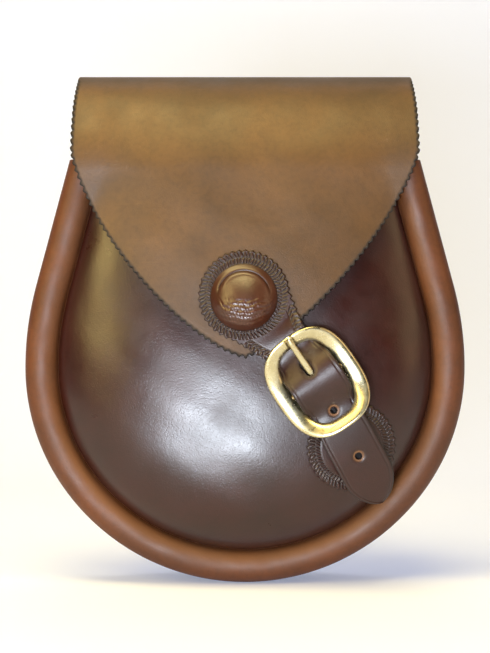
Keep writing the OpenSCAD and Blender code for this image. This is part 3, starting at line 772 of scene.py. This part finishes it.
def belt_loop(name, node):
    low, high = node_box(node)
    bottom, top = low[2] + BELT_LINE, high[2] + BELT_LINE
    mid = (bottom + top) / 2
    half = (top - bottom) / 2
    foot, ramp = 17, 9.5
    near = -BACK_D + LEATHER / 2
    far = high[1] - LEATHER / 2
    h = np.linspace(-half, half, 121)
    rise = smooth((half - foot - np.abs(h)) / ramp + 0.08)
    depth = -(near + (far - near) * rise)
    u = np.linspace(-1, 1, 15)
    wide = (high[0] - low[0]) / 2
    corner = np.clip((np.abs(h) - (half - 5)) / 5, 0, 1)
    width = wide - 5 * (1 - np.sqrt(1 - corner ** 2 * 0.97))
    x = (low[0] + high[0]) / 2 + u[None, :] * width[:, None]
    grid = np.stack([x, depth[:, None] + 0 * x, (mid + h)[:, None] + 0 * x], -1)
    dark = smooth((np.abs(u)[None, :] - 0.93) / 0.06) + 0 * x
    loop = make_object(name, grid, grid_faces(*grid.shape[:2]), {"edge": dark * 0.8})
    thicken(loop, LEATHER - 0.1, 0.6)
    return dress(loop, STRAP, "bag", "leather_strap", node)


# ---- flap ----

COVER_H = 206.0
COVER_L = 22.0
BEND_R = 7.0
TOP_H = FOLD_H - LEATHER / 2
HINGE_D = BACK_D + LEATHER / 2
HINGE_H = TOP_H - BEND_R
TOP_D = HINGE_D + BEND_R


def bezier(a, b, c, d, t):
    return a * (1 - t) ** 3 + 3 * b * t * (1 - t) ** 2 + 3 * c * t * t * (1 - t) + d * t ** 3


UNROLL = 3 * COVER_L
FLAT_TOP = COVER_H + UNROLL


def flap_point(x, y):
    """A point of the flap's middle surface. y is its height with the flap laid out flat."""
    t = np.clip((y - COVER_H) / UNROLL, 0, 1)
    front = flap_depth(x, np.minimum(y, COVER_H)) + LEATHER / 2
    lean = flap_depth(x, COVER_H) - flap_depth(x, COVER_H - 1)
    over = bezier(front, front + lean * COVER_L, HINGE_D + 25, TOP_D, t)
    high = bezier(COVER_H, COVER_H + COVER_L, TOP_H - 3, TOP_H, t)
    return np.stack([x, np.where(t > 0, over, front), np.where(t > 0, high, y)], -1)


def pinking(run, pitch=PINK_PITCH):
    """Depth that pinking shears cut away along an edge, as a share: 0 at teeth, 1 between."""
    k = np.abs(2 * np.mod(run / pitch, 1) - 1)
    return 1 - smooth(k * 0.9 + 0.05)


def flap_edge():
    """The flap's outline laid flat: down its left side, round the tip and up the right side."""
    half = FLAP_W / 2
    side = np.array([[FOLD_HALF, FLAT_TOP], [half, FLAT_TOP - UNROLL / 2], [half, SHOULDER_H + 4]])
    a = np.linspace(0, math.pi / 2, 400)
    line = [side * [-1, 1]]
    for way, full in ((-1, FULL_LEFT), (1, FULL_RIGHT)):
        x = half * np.sin(a) ** (2 / full)
        h = SHOULDER_H - (SHOULDER_H - TIP_H) * np.cos(a) ** (2 / full)
        part = np.stack([way * x, h], 1)
        line.append(part[::-1] if way < 0 else part[1:])
    line.append(side[::-1])
    return np.concatenate(line)


def flap():
    edge = resample(flap_edge(), PINK_PITCH / 8)
    run = arc_length(edge)
    from_fold = np.minimum(run, run[-1] - run)
    out = -normals_2d(edge)
    tooth = pinking(run) * PINK_DEPTH * smooth((from_fold - 9) / 6)
    cut = edge - out * tooth[:, None]
    inner = edge - out * (2.4 * smooth(from_fold / 12))[:, None]
    top = np.stack([(2 * run / run[-1] - 1) * FOLD_HALF, 0 * run + FLAT_TOP], 1)
    # the fold's bend comes down behind to meet the back's top edge
    rows = [
        np.stack([top[:, 0], 0 * run + HINGE_D, 0 * run + h], 1)
        for h in (PANEL_TOP + 0.1, HINGE_H - 0.8)
    ]
    for a in np.linspace(0, math.pi / 2, 11)[:-1]:
        d, h = TOP_D - BEND_R * math.cos(a), HINGE_H + BEND_R * math.sin(a)
        rows.append(np.stack([top[:, 0], 0 * run + d, 0 * run + h], 1))
    shares = np.linspace(0, 1, 101)
    for k in shares:
        p = top + (inner - top) * k
        rows.append(flap_point(p[:, 0], p[:, 1]))
    for k in (0.35, 0.65, 0.85, 1.0):
        p = inner + (cut - inner) * k
        rows.append(flap_point(p[:, 0], p[:, 1]))
    grid = np.stack(rows)
    calm = smooth((TOP_H - grid[..., 2]) / 20)
    grid[..., 1] += 0.8 * ripple(grid[..., 0] + 31, grid[..., 2]) * calm
    dark = np.zeros(grid.shape[:2])
    dark[-4:] = np.array([0.55, 0.9, 1.0, 1.0])[:, None] * smooth((from_fold - 4) / 8)
    # painted shade: the leather is darkened over the fold and towards the right side
    fold = 0.58 * smooth((grid[..., 2] - FOLD_H + 12) / 9)
    right = 0.20 * smooth((grid[..., 0] - 35) / 50)
    dark = np.maximum(dark, np.maximum(fold, right))
    faces = [tuple(reversed(f)) for f in grid_faces(*grid.shape[:2])]
    skin = make_object("flap_leather", grid, faces, {"edge": dark})
    thicken(skin, LEATHER - 0.1, 0.3, sides=(FLAP, INSIDE))
    dress(skin, FLAP, None, "leather_flap", "flap")
    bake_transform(skin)
    return skin


# ---- rosettes ----

def stamped_band(run, across, band, pitch=2.0):
    """Height of two rows of slanted stamps in a border, by distance along and into the band."""
    v = across / band
    k = run / pitch
    jitter = 0.10 * np.sin(k * 2.3) + 0.08 * np.sin(k * 0.71 + 1)
    outer = np.sin(2 * math.pi * (k + jitter + 1.0 * v))
    inner = np.sin(2 * math.pi * (k * 1.0 + jitter - 1.0 * v + 0.3))
    stamp = np.where(v < 0.5, outer, inner)
    pit = np.clip(stamp, -0.7, 0.8) - 0.15
    rows = np.abs(np.sin(2 * math.pi * v)) ** 0.6
    inside = smooth(v / 0.05) * smooth((1 - v) / 0.05)
    line = np.exp(-((v - 0.5) / 0.07) ** 2) + np.exp(-((v - 1) / 0.07) ** 2)
    return inside * (0.34 * pit * rows - 0.1) - 0.18 * line


def lower_rosette():
    """The pinked and stamped disc that the chape ends in. It follows the front under it."""
    cols = 560
    angle = np.linspace(0, 2 * math.pi, cols, endpoint=False)
    share = np.concatenate([np.linspace(0.03, 0.6, 14), np.linspace(0.6, 1, 60)[1:]])
    rim = smooth((share - 0.9) / 0.1)[:, None]
    r = share[:, None] * (ROSETTE_R + 0.3) - rim * pinking(angle * 40 / (2 * math.pi), 1.0)[None] * 1.1
    x = LOWER_AT[0] + r * np.cos(angle)
    h = LOWER_AT[1] + r * np.sin(angle)
    stamp = stamped_band(angle * ROSETTE_R, ROSETTE_R - 1.0 - r, 5.4)
    drop = -0.5 * smooth((share - 0.965) / 0.035)[:, None]
    level = panel_depth(x, h) + CHAPE_T
    outer = np.stack([x, level + CHAPE_T + stamp + drop + 0.3 * ripple(x, h), h], -1)
    bottom = np.stack([x[-1], level[-1], h[-1]], -1)[None]
    grid = np.concatenate([outer, bottom])
    faces = closed_faces(*grid.shape[:2])
    # painted shade: darker in the stamped pits, and where the strap's holes lie over the rosette
    painted_shade = np.clip(-stamp * 2.2, 0, 1)
    for hole in HOLES[1:]:
        hole_x, hole_h = strap_line(hole)
        painted_shade = np.maximum(painted_shade, 1.25 * np.exp(-(np.hypot(x - hole_x, h - hole_h) / 3.2) ** 4))
    dark = np.concatenate([np.maximum(painted_shade, rim * (share > 0.985)[:, None]), np.ones((1, cols))]) * 0.8
    disc = make_object("lower_leaf", grid, faces, {"edge": dark})
    return dress(disc, STRAP, "bag", "leather_strap", "lower_rosette")


# the neck between the rosette and the strap: where it starts and ends, and its half widths
NECK_START = 11
NECK_END = -24.0
NECK_WIDE = 19.0
NECK_NARROW = 12.6


def leaf_outline(angle):
    """Radius of the upper rosette and its neck, by the angle from the strap's direction."""
    far = float(np.linalg.norm(BAR_AT - UPPER_AT)) + NECK_END
    a = np.abs(np.mod(angle + math.pi, 2 * math.pi) - math.pi)
    slope = (NECK_WIDE - NECK_NARROW) / (far - NECK_START)
    side = (NECK_WIDE + slope * NECK_START) / (np.sin(a) + slope * np.cos(a))
    end = far / np.maximum(np.cos(a), 1e-3)
    neck = np.where(a < math.radians(75), np.minimum(side, np.where(np.cos(a) > 0, end, 1e9)), 0)
    return np.maximum(ROSETTE_R + 0.5, neck)


def upper_rosette():
    """The rosette that the button sits on, cut in one piece with the strap's neck."""
    cols = 720
    angle = np.linspace(0, 2 * math.pi, cols, endpoint=False)
    turned = angle + STRAP_TURN
    radius = leaf_outline(turned)
    edge = np.stack([radius * np.cos(angle), radius * np.sin(angle)], 1)
    loop = np.concatenate([edge, edge[:1]])
    run = arc_length(loop)[:-1]
    at_end = (radius * np.cos(turned) > np.linalg.norm(BAR_AT - UPPER_AT) + NECK_END - 0.5)
    tooth = pinking(run, run[-1] / round(run[-1] / 3.5)) * np.where(at_end, 0.0, 1.1)
    share = np.concatenate([np.linspace(0.03, 0.55, 12), np.linspace(0.55, 1, 84)[1:]])
    rim = smooth((share - 0.9) / 0.1)[:, None]
    r = share[:, None] * radius[None] - rim * tooth[None]
    x, z = r * np.cos(angle), r * np.sin(angle)
    along = r * np.cos(turned)
    across = r * np.sin(turned)
    px, ph = UPPER_AT[0] + x, UPPER_AT[1] + z
    # one ring of stamps round the button, and a border along the neck's two sides
    stamp = stamped_band(angle * ROSETTE_R + 0 * r, ROSETTE_R - 0.6 - r, 5.8)
    neck_end = np.linalg.norm(BAR_AT - UPPER_AT) + NECK_END
    neck_half = np.interp(along, [NECK_START, neck_end], [NECK_WIDE, NECK_NARROW])
    on_neck = smooth((along - 17) / 2) * smooth((r - ROSETTE_R + 0.8) / 0.8)
    border = stamped_band(along + np.sign(across) * 0.7, neck_half - np.abs(across) - 0.7, 4.6)
    stamp = stamp * (1 - on_neck) + border * on_neck
    drop = -0.5 * smooth((share - 0.97) / 0.03)[:, None] * np.where(at_end, 0.0, 1.0)
    s = along - np.linalg.norm(BAR_AT - UPPER_AT)
    lift = smooth((s + 33) / 8)
    on_flap = flap_depth(px, ph) + LEATHER + GAP
    level = on_flap * (1 - lift) + (STRAP_D + FLAP_LIFT) * lift
    outer = np.stack([px, level + STRAP_T + stamp + drop + 0.3 * ripple(px, ph), ph], -1)
    bottom = np.stack([px[-1], level[-1], ph[-1]], -1)[None]
    grid = np.concatenate([outer, bottom])
    faces = closed_faces(*grid.shape[:2])
    # painted shade in the stamped pits
    painted_shade = np.clip(-stamp * 2.2, 0, 1)
    dark = np.concatenate([np.maximum(painted_shade, rim * (share > 0.985)[:, None]), np.ones((1, cols))]) * 0.8
    leaf = make_object("rosette_leaf", grid, faces, {"edge": dark})
    dress(leaf, STRAP, None, "leather_strap", "billet_rosette")
    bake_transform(leaf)
    return leaf


def button():
    """The leather drawn down over the button, with one crease over it and gathers below."""
    cols, rings = 200, 70
    reach, crown = 15.6, -5.0
    angle = np.linspace(0, 2 * math.pi, cols, endpoint=False)
    share = np.linspace(0.02, 1, rings)[:, None]
    x = share * reach * np.cos(angle)
    z = crown + share * (reach * np.sin(angle) - crown)
    r = np.hypot(x, z)
    full = 2.1 + 1.1 * smooth(0.5 - np.sin(angle) / 1.2)
    rise = (BUTTON_RISE - 0.2) * np.maximum(0, 1 - share ** full)
    # gathers run round the lower half, each a little broken
    low = smooth((-z + 1) / 6) * smooth((reach - 0.6 - r) / 3)
    far = np.hypot(x - 1.5, z - 9)
    turn = np.arctan2(z - 9, x - 1.5)
    folds = 0.15 * np.sin(2.6 * far + 1.9 * np.sin(3.7 * turn + 0.4) + 0.9 * np.sin(9.3 * turn))
    folds = folds + 0.11 * np.sin(21 * turn + 1.6 * np.sin(1.1 * far)) + 0.05 * np.sin(4.4 * x + 2.1 * z)
    arc = np.exp(-((r - 12.4) / 0.6) ** 2) * smooth((np.sin(angle) - 0.1) / 0.5)
    brow = np.exp(-((r - 11.0) / 1.0) ** 2) * smooth((np.sin(angle) - 0.3) / 0.4)
    rise = rise + folds * low - 0.8 * arc + 0.35 * brow
    px = UPPER_AT[0] + x
    ph = UPPER_AT[1] - 0.8 + z
    base = flap_depth(px, ph) + LEATHER + GAP + STRAP_T - 0.06
    grid = np.stack([px, base + rise, ph], -1)
    faces = grid_faces(rings, cols, wrap=True) + [tuple(range(cols))[::-1]]
    # painted shade in the crease over the button and round its foot
    dark = np.maximum(smooth((share - 0.95) / 0.05) * 0.35 + 0 * x, arc * 0.75)
    cap = make_object("button_leather", grid, faces, {"edge": dark})
    thicken(cap, 0.8, 0, side=-1)
    return dress(cap, DOME, "flap", "leather_strap", "button_cover")


# ---- strap ----

OVER_BAR = BAR_LIFT + BAR_R + CHAPE_T + 2 * GAP
FLAP_LIFT = 2.9
TAIL_LIFT = 5.3
TAIL_DROOP = 13.0
TAIL_TWIST = 1.5
START_S = 19.0
END_S = 17.0
DIP = 1.2
TAIL_L = 68.0
STRAP_START = -25.6
POINT_L = 17
TIP_L = 16
EDGE_R = 1.3


def strap_lift(s, u):
    rising = np.cos(math.pi / 2 * np.clip(-s / START_S, 0, 1) ** 1.1) ** 2
    before = FLAP_LIFT + (OVER_BAR - FLAP_LIFT) * rising
    after = TAIL_LIFT + (OVER_BAR - TAIL_LIFT) * np.cos(math.pi / 2 * np.clip(s / END_S, 0, 1)) ** 2
    k = np.clip((s - END_S) / (TAIL_L - END_S), 0, None)
    tail = TAIL_LIFT - TAIL_DROOP * k ** 1.8 - TAIL_TWIST * u * np.minimum(1, 2 * k)
    dip = DIP * np.abs(u) ** 3 * np.cos(math.pi / 2 * np.clip(np.abs(np.abs(s) - 15) / 8, 0, 1)) ** 2
    return np.where(s < 0, before, np.where(s < END_S, after, tail)) - dip


def strap_turn(s):
    return STRAP_TURN + (TAIL_TURN - STRAP_TURN) * smooth((s + 14) / 28)


def strap_half(s):
    """Half width: it fills the window, is squeezed under the frame, and ends in a point."""
    k = np.clip((s - (TAIL_L - POINT_L)) / POINT_L, 0, 1)
    point = STRAP_W / 2 * np.maximum(0.0, 1 - k ** 1.9) ** 0.6
    fill = 0.9 * smooth((13 - np.abs(s)) / 3)
    squeeze = -0.9 * np.exp(-((np.abs(s) - 18.5) / 6) ** 2)
    return point + fill + squeeze * (k < 0.01)


def strap_line(s):
    """[x, height] of the strap's middle line, which turns a little inside the buckle."""
    fine = np.linspace(STRAP_START, TAIL_L, 1200)
    turn = strap_turn(fine)
    step = fine[1] - fine[0]
    x = np.concatenate([[0], np.cumsum(np.cos(turn[:-1]) * step)])
    h = np.concatenate([[0], np.cumsum(-np.sin(turn[:-1]) * step)])
    x += BAR_AT[0] - np.interp(0, fine, x)
    h += BAR_AT[1] - np.interp(0, fine, h)
    return np.interp(s, fine, x), np.interp(s, fine, h)


def cut_holes(obj, cutters):
    face_outwards(obj)
    for k, cutter in enumerate(cutters):
        face_outwards(cutter)
        cut = obj.modifiers.new(f"hole{k}", "BOOLEAN")
        cut.operation = "DIFFERENCE"
        cut.solver = "EXACT"
        cut.object = cutter
    apply_all(obj)
    for cutter in cutters:
        bpy.data.objects.remove(cutter)
    return obj


def strap_cutter(s, radius, length=0.0):
    """A rod, or a long slot, that cuts through the strap at s."""
    x, h = (float(v) for v in strap_line(np.array(s)))
    turn = float(strap_turn(np.array(s)))
    way = np.array([math.cos(turn), -math.sin(turn)])
    side = np.array([math.sin(turn), math.cos(turn)])
    angle = np.linspace(0, 2 * math.pi, 32, endpoint=False)
    ring = []
    for a in angle:
        shift = length / 2 * (1 if math.cos(a) >= 0 else -1)
        ring.append(np.array([x, h]) + way * (shift + radius * math.cos(a)) + side * radius * math.sin(a))
    ring = np.array(ring)
    low = np.stack([ring[:, 0], 0 * ring[:, 0] + STRAP_D - 20, ring[:, 1]], 1)
    high = low + [0, 45, 0]
    faces = [tuple(range(32)), tuple(range(32, 64))[::-1]]
    faces += [(j, j + 32, (j + 1) % 32 + 32, (j + 1) % 32) for j in range(32)]
    return make_object("cutter", np.concatenate([low, high]), faces)


HOLES = (TONGUE_HOLE, TONGUE_HOLE + HOLE_PITCH, TONGUE_HOLE + 2 * HOLE_PITCH)
# the hole in use, drawn long by the tongue
SLOT_S = -8.4
SLOT_L = 4.6


def billet():
    s = np.concatenate([
        np.linspace(STRAP_START, TAIL_L - TIP_L, 190),
        TAIL_L - TIP_L + TIP_L * np.sin(np.linspace(0, 1, 40)[1:] * math.pi / 2),
    ])
    s[-1] = TAIL_L - 0.01
    u = np.sin(np.linspace(-1, 1, 61) * math.pi / 2)
    S, U = np.meshgrid(s, u, indexing="ij")
    x, h = strap_line(s)
    turn = strap_turn(s)
    half = np.maximum(strap_half(s), 0.6)
    wide = U * half[:, None]
    X = x[:, None] + np.sin(turn)[:, None] * wide
    H = h[:, None] + np.cos(turn)[:, None] * wide
    lift = strap_lift(S, U)
    edge_off = half[:, None] - np.abs(wide)
    groove = -0.28 * np.exp(-((edge_off - 2.0) / 0.35) ** 2)
    for hole in HOLES:
        away = np.hypot(S - hole, wide)
        if hole == TONGUE_HOLE:
            away = np.hypot(np.maximum(0, np.abs(S - SLOT_S) - SLOT_L / 2), wide)
        groove = groove - 0.55 * np.exp(-(np.maximum(0, away - 1.9) / 1.1) ** 2)
    past = ((np.abs(wide) - half[:, None] + EDGE_R) / EDGE_R).clip(0, 1)
    round_off = -0.7 * (1 - np.sqrt(np.clip(1 - past ** 2, 0, 1)))
    top = np.stack([X, STRAP_D + lift + STRAP_T + groove + round_off + 0.3 * ripple(X, H), H], -1)
    low = np.stack([X, STRAP_D + lift + 0 * X, H], -1)
    rows, cols = X.shape
    shift = rows * cols
    faces = grid_faces(rows, cols)
    faces = [tuple(reversed(f)) for f in faces] + [tuple(shift + v for v in f) for f in faces]
    for i in range(rows - 1):
        a, b = i * cols, (i + 1) * cols
        faces.append((a, shift + a, shift + b, b)[::-1])
        faces.append((a + cols - 1, b + cols - 1, shift + b + cols - 1, shift + a + cols - 1)[::-1])
    for j in range(cols - 1):
        faces.append((j, j + 1, shift + j + 1, shift + j)[::-1])
        end = (rows - 1) * cols
        faces.append((end + j, shift + end + j, shift + end + j + 1, end + j + 1)[::-1])
    # the cut edges are burnished dark; the crease line and the dips round the holes get painted shade by
    # their depth
    dark = np.maximum(smooth((1.2 - edge_off) / 1.0) * 0.7, np.clip(-groove * 1.3, 0, 0.7))
    rim = np.zeros_like(X)
    for hole in HOLES[1:]:
        rim = np.maximum(rim, 0.75 * np.exp(-((np.hypot(S - hole, wide) - 2.25) / 0.45) ** 2))
    dark = dark * (1 - rim)
    values = {
        "edge": np.concatenate([dark.ravel(), smooth((1.2 - edge_off) / 1.0).ravel() * 0.7]),
        "bare_and_painted_light": np.concatenate([rim.ravel(), 0 * rim.ravel()]),
    }
    points = np.concatenate([top.reshape(-1, 3), low.reshape(-1, 3)])
    strap = make_object("strap_leather", points, faces, values)
    cutters = [strap_cutter(SLOT_S, SLOT_R, SLOT_L)] + [strap_cutter(hole, HOLE_R) for hole in HOLES[1:]]
    cut_holes(strap, cutters)
    return dress(strap, STRAP, "billet", "leather_strap", "billet_strap")


# ---- chape ----

def chape():
    length = float(np.linalg.norm(LOWER_AT - BAR_AT))
    way = np.array([math.cos(TAIL_TURN), -math.sin(TAIL_TURN)])
    side = np.array([math.sin(TAIL_TURN), math.cos(TAIL_TURN)])
    radius = BAR_R + GAP + CHAPE_T / 2
    u = np.linspace(-1, 1, 24)
    rows = []

    def strip(s, lift, drape):
        x = BAR_AT[0] + way[0] * s + side[0] * u * CHAPE_W / 2
        h = BAR_AT[1] + way[1] * s + side[1] * u * CHAPE_W / 2
        flat = STRAP_D + lift + 0 * x
        follow = panel_depth(x, h) + lift
        return np.stack([x, flat * (1 - drape) + follow * drape, h], 1)

    for s in np.linspace(length + 8, 9, 30):
        rows.append(strip(s, CHAPE_T / 2, 1.0))
    for s in np.linspace(9, 2, 6)[1:]:
        k = (9 - s) / 7
        rows.append(strip(s, CHAPE_T / 2 + (BAR_LIFT - radius - CHAPE_T / 2) * k * k, 1 - k))
    for a in np.linspace(-math.pi / 2, math.pi / 2, 13):
        rows.append(strip(-radius * math.cos(a), BAR_LIFT + radius * math.sin(a), 0.0))
    for s in np.linspace(0, 13, 12)[1:]:
        k = smooth(s / 13)
        rows.append(strip(s, (BAR_LIFT + radius) * (1 - k) + 1.5 * CHAPE_T * k, k))
    rows.append(strip(length - ROSETTE_R + 1.0, 1.5 * CHAPE_T, 1.0))
    grid = np.stack(rows)
    place = (grid[..., 0] - BAR_AT[0]) * way[0] + (grid[..., 2] - BAR_AT[1]) * way[1]
    across = u * CHAPE_W / 2
    open_cell = (np.abs((across[:-1] + across[1:]) / 2) < 2.6)[None, :] & (place[:-1, :-1] < 8)
    faces = grid_faces(*grid.shape[:2], skip=open_cell)
    leather_strip = make_object("chape_leather", grid, faces)
    thicken(leather_strip, CHAPE_T - 0.1, 0.35)
    return dress(leather_strip, STRAP, "bag", "leather_strap", "chape")


# ---- buckle ----

FRAME_L = 51.5
FRAME_W = 43.5
WINDOW_L = 40.0
WINDOW_W = 27.0
FRAME_T = 4.0
FRAME_BOW = 7.2
MID_LIFT = BAR_LIFT - 1.8


def buckle_place(s, c, lift, turn=BUCKLE_TURN):
    """Along the strap, across it and out of the bag, from the bar, to [x, depth, height]."""
    x = BAR_AT[0] + s * math.cos(turn) + c * math.sin(turn)
    h = BAR_AT[1] - s * math.sin(turn) + c * math.cos(turn)
    return np.stack([x, STRAP_D + lift, h], -1)


def oval(l, w, power, angle):
    c, s = np.cos(angle), np.sin(angle)
    r = (np.abs(2 * c / l) ** power + np.abs(2 * s / w) ** power) ** (-1 / power)
    return r * c, r * s


def buckle_frame():
    """A cast ring: round outside, with a flat bevel inside, swelled along its long sides."""
    cols, sides = 220, 28
    angle = np.linspace(0, 2 * math.pi, cols, endpoint=False)
    os, oc = oval(FRAME_L, FRAME_W, 2.75, angle)
    ws, wc = oval(WINDOW_L, WINDOW_W, 3.0, angle)
    t = np.linspace(0, 2 * math.pi, sides, endpoint=False)
    wide = np.cos(t)
    tall = np.sin(t)
    # share across the band from window (0) to outside (1), and height over the arc's foot
    share = 0.5 + 0.5 * np.sign(wide) * np.abs(wide) ** 0.8
    height = FRAME_T * (0.5 + 0.5 * np.sign(tall) * np.abs(tall) ** 0.85)
    height = np.where(tall > 0, height - 0.9 * (1 - share) ** 1.5, height)
    s = ws[:, None] + (os - ws)[:, None] * share[None]
    c = wc[:, None] + (oc - wc)[:, None] * share[None]
    foot = MID_LIFT + FRAME_BOW * (s / (FRAME_L / 2)) ** 2
    boss = 0.7 * np.exp(-(s / 8) ** 2) * smooth((tall[None] + 0.1) / 0.4)
    lift = foot + height[None] + boss
    notch = np.exp(-(c / 1.7) ** 4) * smooth((-s - 17) / 2) * smooth((tall[None] + 0.1) / 0.4)
    lift = lift - 1.0 * notch
    grid = buckle_place(s, c, lift)
    ring = make_object("buckle_ring", grid, ring_faces(cols, sides))
    return dress(ring, BUCKLE, "buckle", "buckle_brass", "buckle_frame")


def tongue():
    """A flat-topped pin, forged round an eye on the bar and eased towards its tip."""
    rise = math.radians(22)
    length = 26.8
    r = np.linspace(1.2, length, 40)
    half = np.interp(r, [0, 4, length - 3, length], [1.7, 1.8, 1.45, 0.7])
    thick = np.interp(r, [0, 4, length - 3, length], [1.5, 1.7, 1.35, 0.7])
    lift = BAR_LIFT + r * math.sin(rise) + 0.7 * math.cos(rise)
    along = -r * math.cos(rise) + 0.7 * math.sin(rise)
    t = np.linspace(0, 2 * math.pi, 20, endpoint=False)
    c = np.sign(np.cos(t)) * np.abs(np.cos(t)) ** 0.7
    e = np.sign(np.sin(t)) * np.abs(np.sin(t)) ** 0.85
    grid = buckle_place(
        along[:, None] + 0 * t, half[:, None] * c[None], lift[:, None] + thick[:, None] * e[None]
    )
    pin = make_object("tongue_pin", grid, closed_faces(*grid.shape[:2]))
    a = np.linspace(0, 2 * math.pi, 48, endpoint=False)
    b = np.linspace(0, 2 * math.pi, 12, endpoint=False)
    ring = (BAR_R + 0.9) + 0.85 * np.cos(b)
    along = ring[None] * np.cos(a)[:, None]
    across = 1.75 * np.sin(b)[None] + 0 * a[:, None]
    eye = buckle_place(along, across, BAR_LIFT + ring[None] * np.sin(a)[:, None])
    loop = make_object("tongue_eye", eye, ring_faces(*eye.shape[:2]))
    whole = join("tongue_brass", [pin, loop])
    return dress(whole, BUCKLE, "tongue", "buckle_brass", "tongue")


# ---- stage ----

def stage():
    """A pale floor that runs up into a backdrop."""
    low, front, back, bend, top = -BELT_LINE * MM - 0.0004, -1.6, 0.9, 0.5, 2.2
    a = np.linspace(0, math.pi / 2, 20)
    y = np.concatenate([[front], back - bend + bend * np.sin(a), [back]])
    z = np.concatenate([[low], low + bend - bend * np.cos(a), [top]])
    verts = [(x, yy, zz) for yy, zz in zip(y, z) for x in (-2.2, 2.2)]
    faces = [(2 * i, 2 * i + 1, 2 * i + 3, 2 * i + 2) for i in range(len(y) - 1)]
    mesh = bpy.data.meshes.new("floor")
    mesh.from_pydata(verts, [], faces)
    mesh.polygons.foreach_set("use_smooth", [True] * len(faces))
    floor = bpy.data.objects.new("floor", mesh)
    bpy.context.scene.collection.objects.link(floor)
    paper = Shader(
        "paper", 0.9, Base_Color=(0.62, 0.66, 0.80, 1),
        Emission_Color=(0.7, 0.76, 1, 1), Emission_Strength=0.28,
    )
    floor.data.materials.append(paper.material)


def light(name, elevation, azimuth, distance, size, power, colour, tall=None):
    """An area light that looks at the bag's middle. Azimuth 0 is the front, 180 the back."""
    data = bpy.data.lights.new(name, "AREA")
    data.shape = "RECTANGLE"
    data.size = size
    data.size_y = tall or size
    data.energy = power
    data.color = colour
    lamp = bpy.data.objects.new(name, data)
    aim = Vector((0, -0.05, -0.06))
    e, a = math.radians(elevation), math.radians(azimuth)
    away = Vector((math.sin(a) * math.cos(e), -math.cos(a) * math.cos(e), math.sin(e)))
    lamp.location = aim + away * distance
    lamp.rotation_euler = (-away).to_track_quat("-Z", "Y").to_euler()
    bpy.context.scene.collection.objects.link(lamp)


def lights():
    light("front_box", -4.6, -7, 0.85, 0.23, 10.7, (0.82, 0.90, 1.0), 0.115)
    light("overhead", 72, -25, 1.0, 0.9, 14.5, (1.0, 0.82, 0.36), 0.45)
    light("left_warm", 27, -47, 1.1, 0.32, 9.5, (1.0, 0.76, 0.28), 0.85)
    light("right_warm", 18, 66, 1.1, 0.4, 2.4, (1.0, 0.72, 0.40), 0.8)
    light("rear_fill", 40, 180, 1.3, 0.8, 5, (1.0, 0.97, 0.93))
    # the surroundings look pale, and light the bag only a little
    sky = bpy.data.worlds.new("sky")
    sky.use_nodes = True
    nodes, links = sky.node_tree.nodes, sky.node_tree.links
    dim = nodes["Background"]
    dim.inputs["Color"].default_value = (0.95, 0.96, 1.0, 1)
    dim.inputs["Strength"].default_value = 0.05
    pale = nodes.new("ShaderNodeBackground")
    pale.inputs["Color"].default_value = (0.93, 0.94, 0.96, 1)
    seen = nodes.new("ShaderNodeLightPath")
    either = nodes.new("ShaderNodeMixShader")
    links.new(seen.outputs["Is Camera Ray"], either.inputs[0])
    links.new(dim.outputs[0], either.inputs[1])
    links.new(pale.outputs[0], either.inputs[2])
    links.new(either.outputs[0], nodes["World Output"].inputs["Surface"])
    bpy.context.scene.world = sky
    bpy.context.scene.view_settings.view_transform = "Standard"


# ---- everything ----

front_panel()
welt()
gusset()
binding()
back_panel()
back_stitches()
belt_loop("loop_left", "belt_loop_left")
belt_loop("loop_right", "belt_loop_right")
flap()
upper_rosette()
lower_rosette()
button()
billet()
chape()
buckle_frame()
tongue()

CARRIED = {
    "welt_core": CORE, "button_core": BLANK, "centre_bar": BAR, "belt_loop_rivets": RIVET,
    "belt_loop_burrs": RIVET, "button_rivet": RIVET, "button_burr": RIVET, "chape_rivet": RIVET,
    "chape_burr": RIVET,
}
for node_name, finish in CARRIED.items():
    node = frame["nodes"][node_name]
    node.data.materials.clear()
    node.data.materials.append(finish)

stage()
lights()
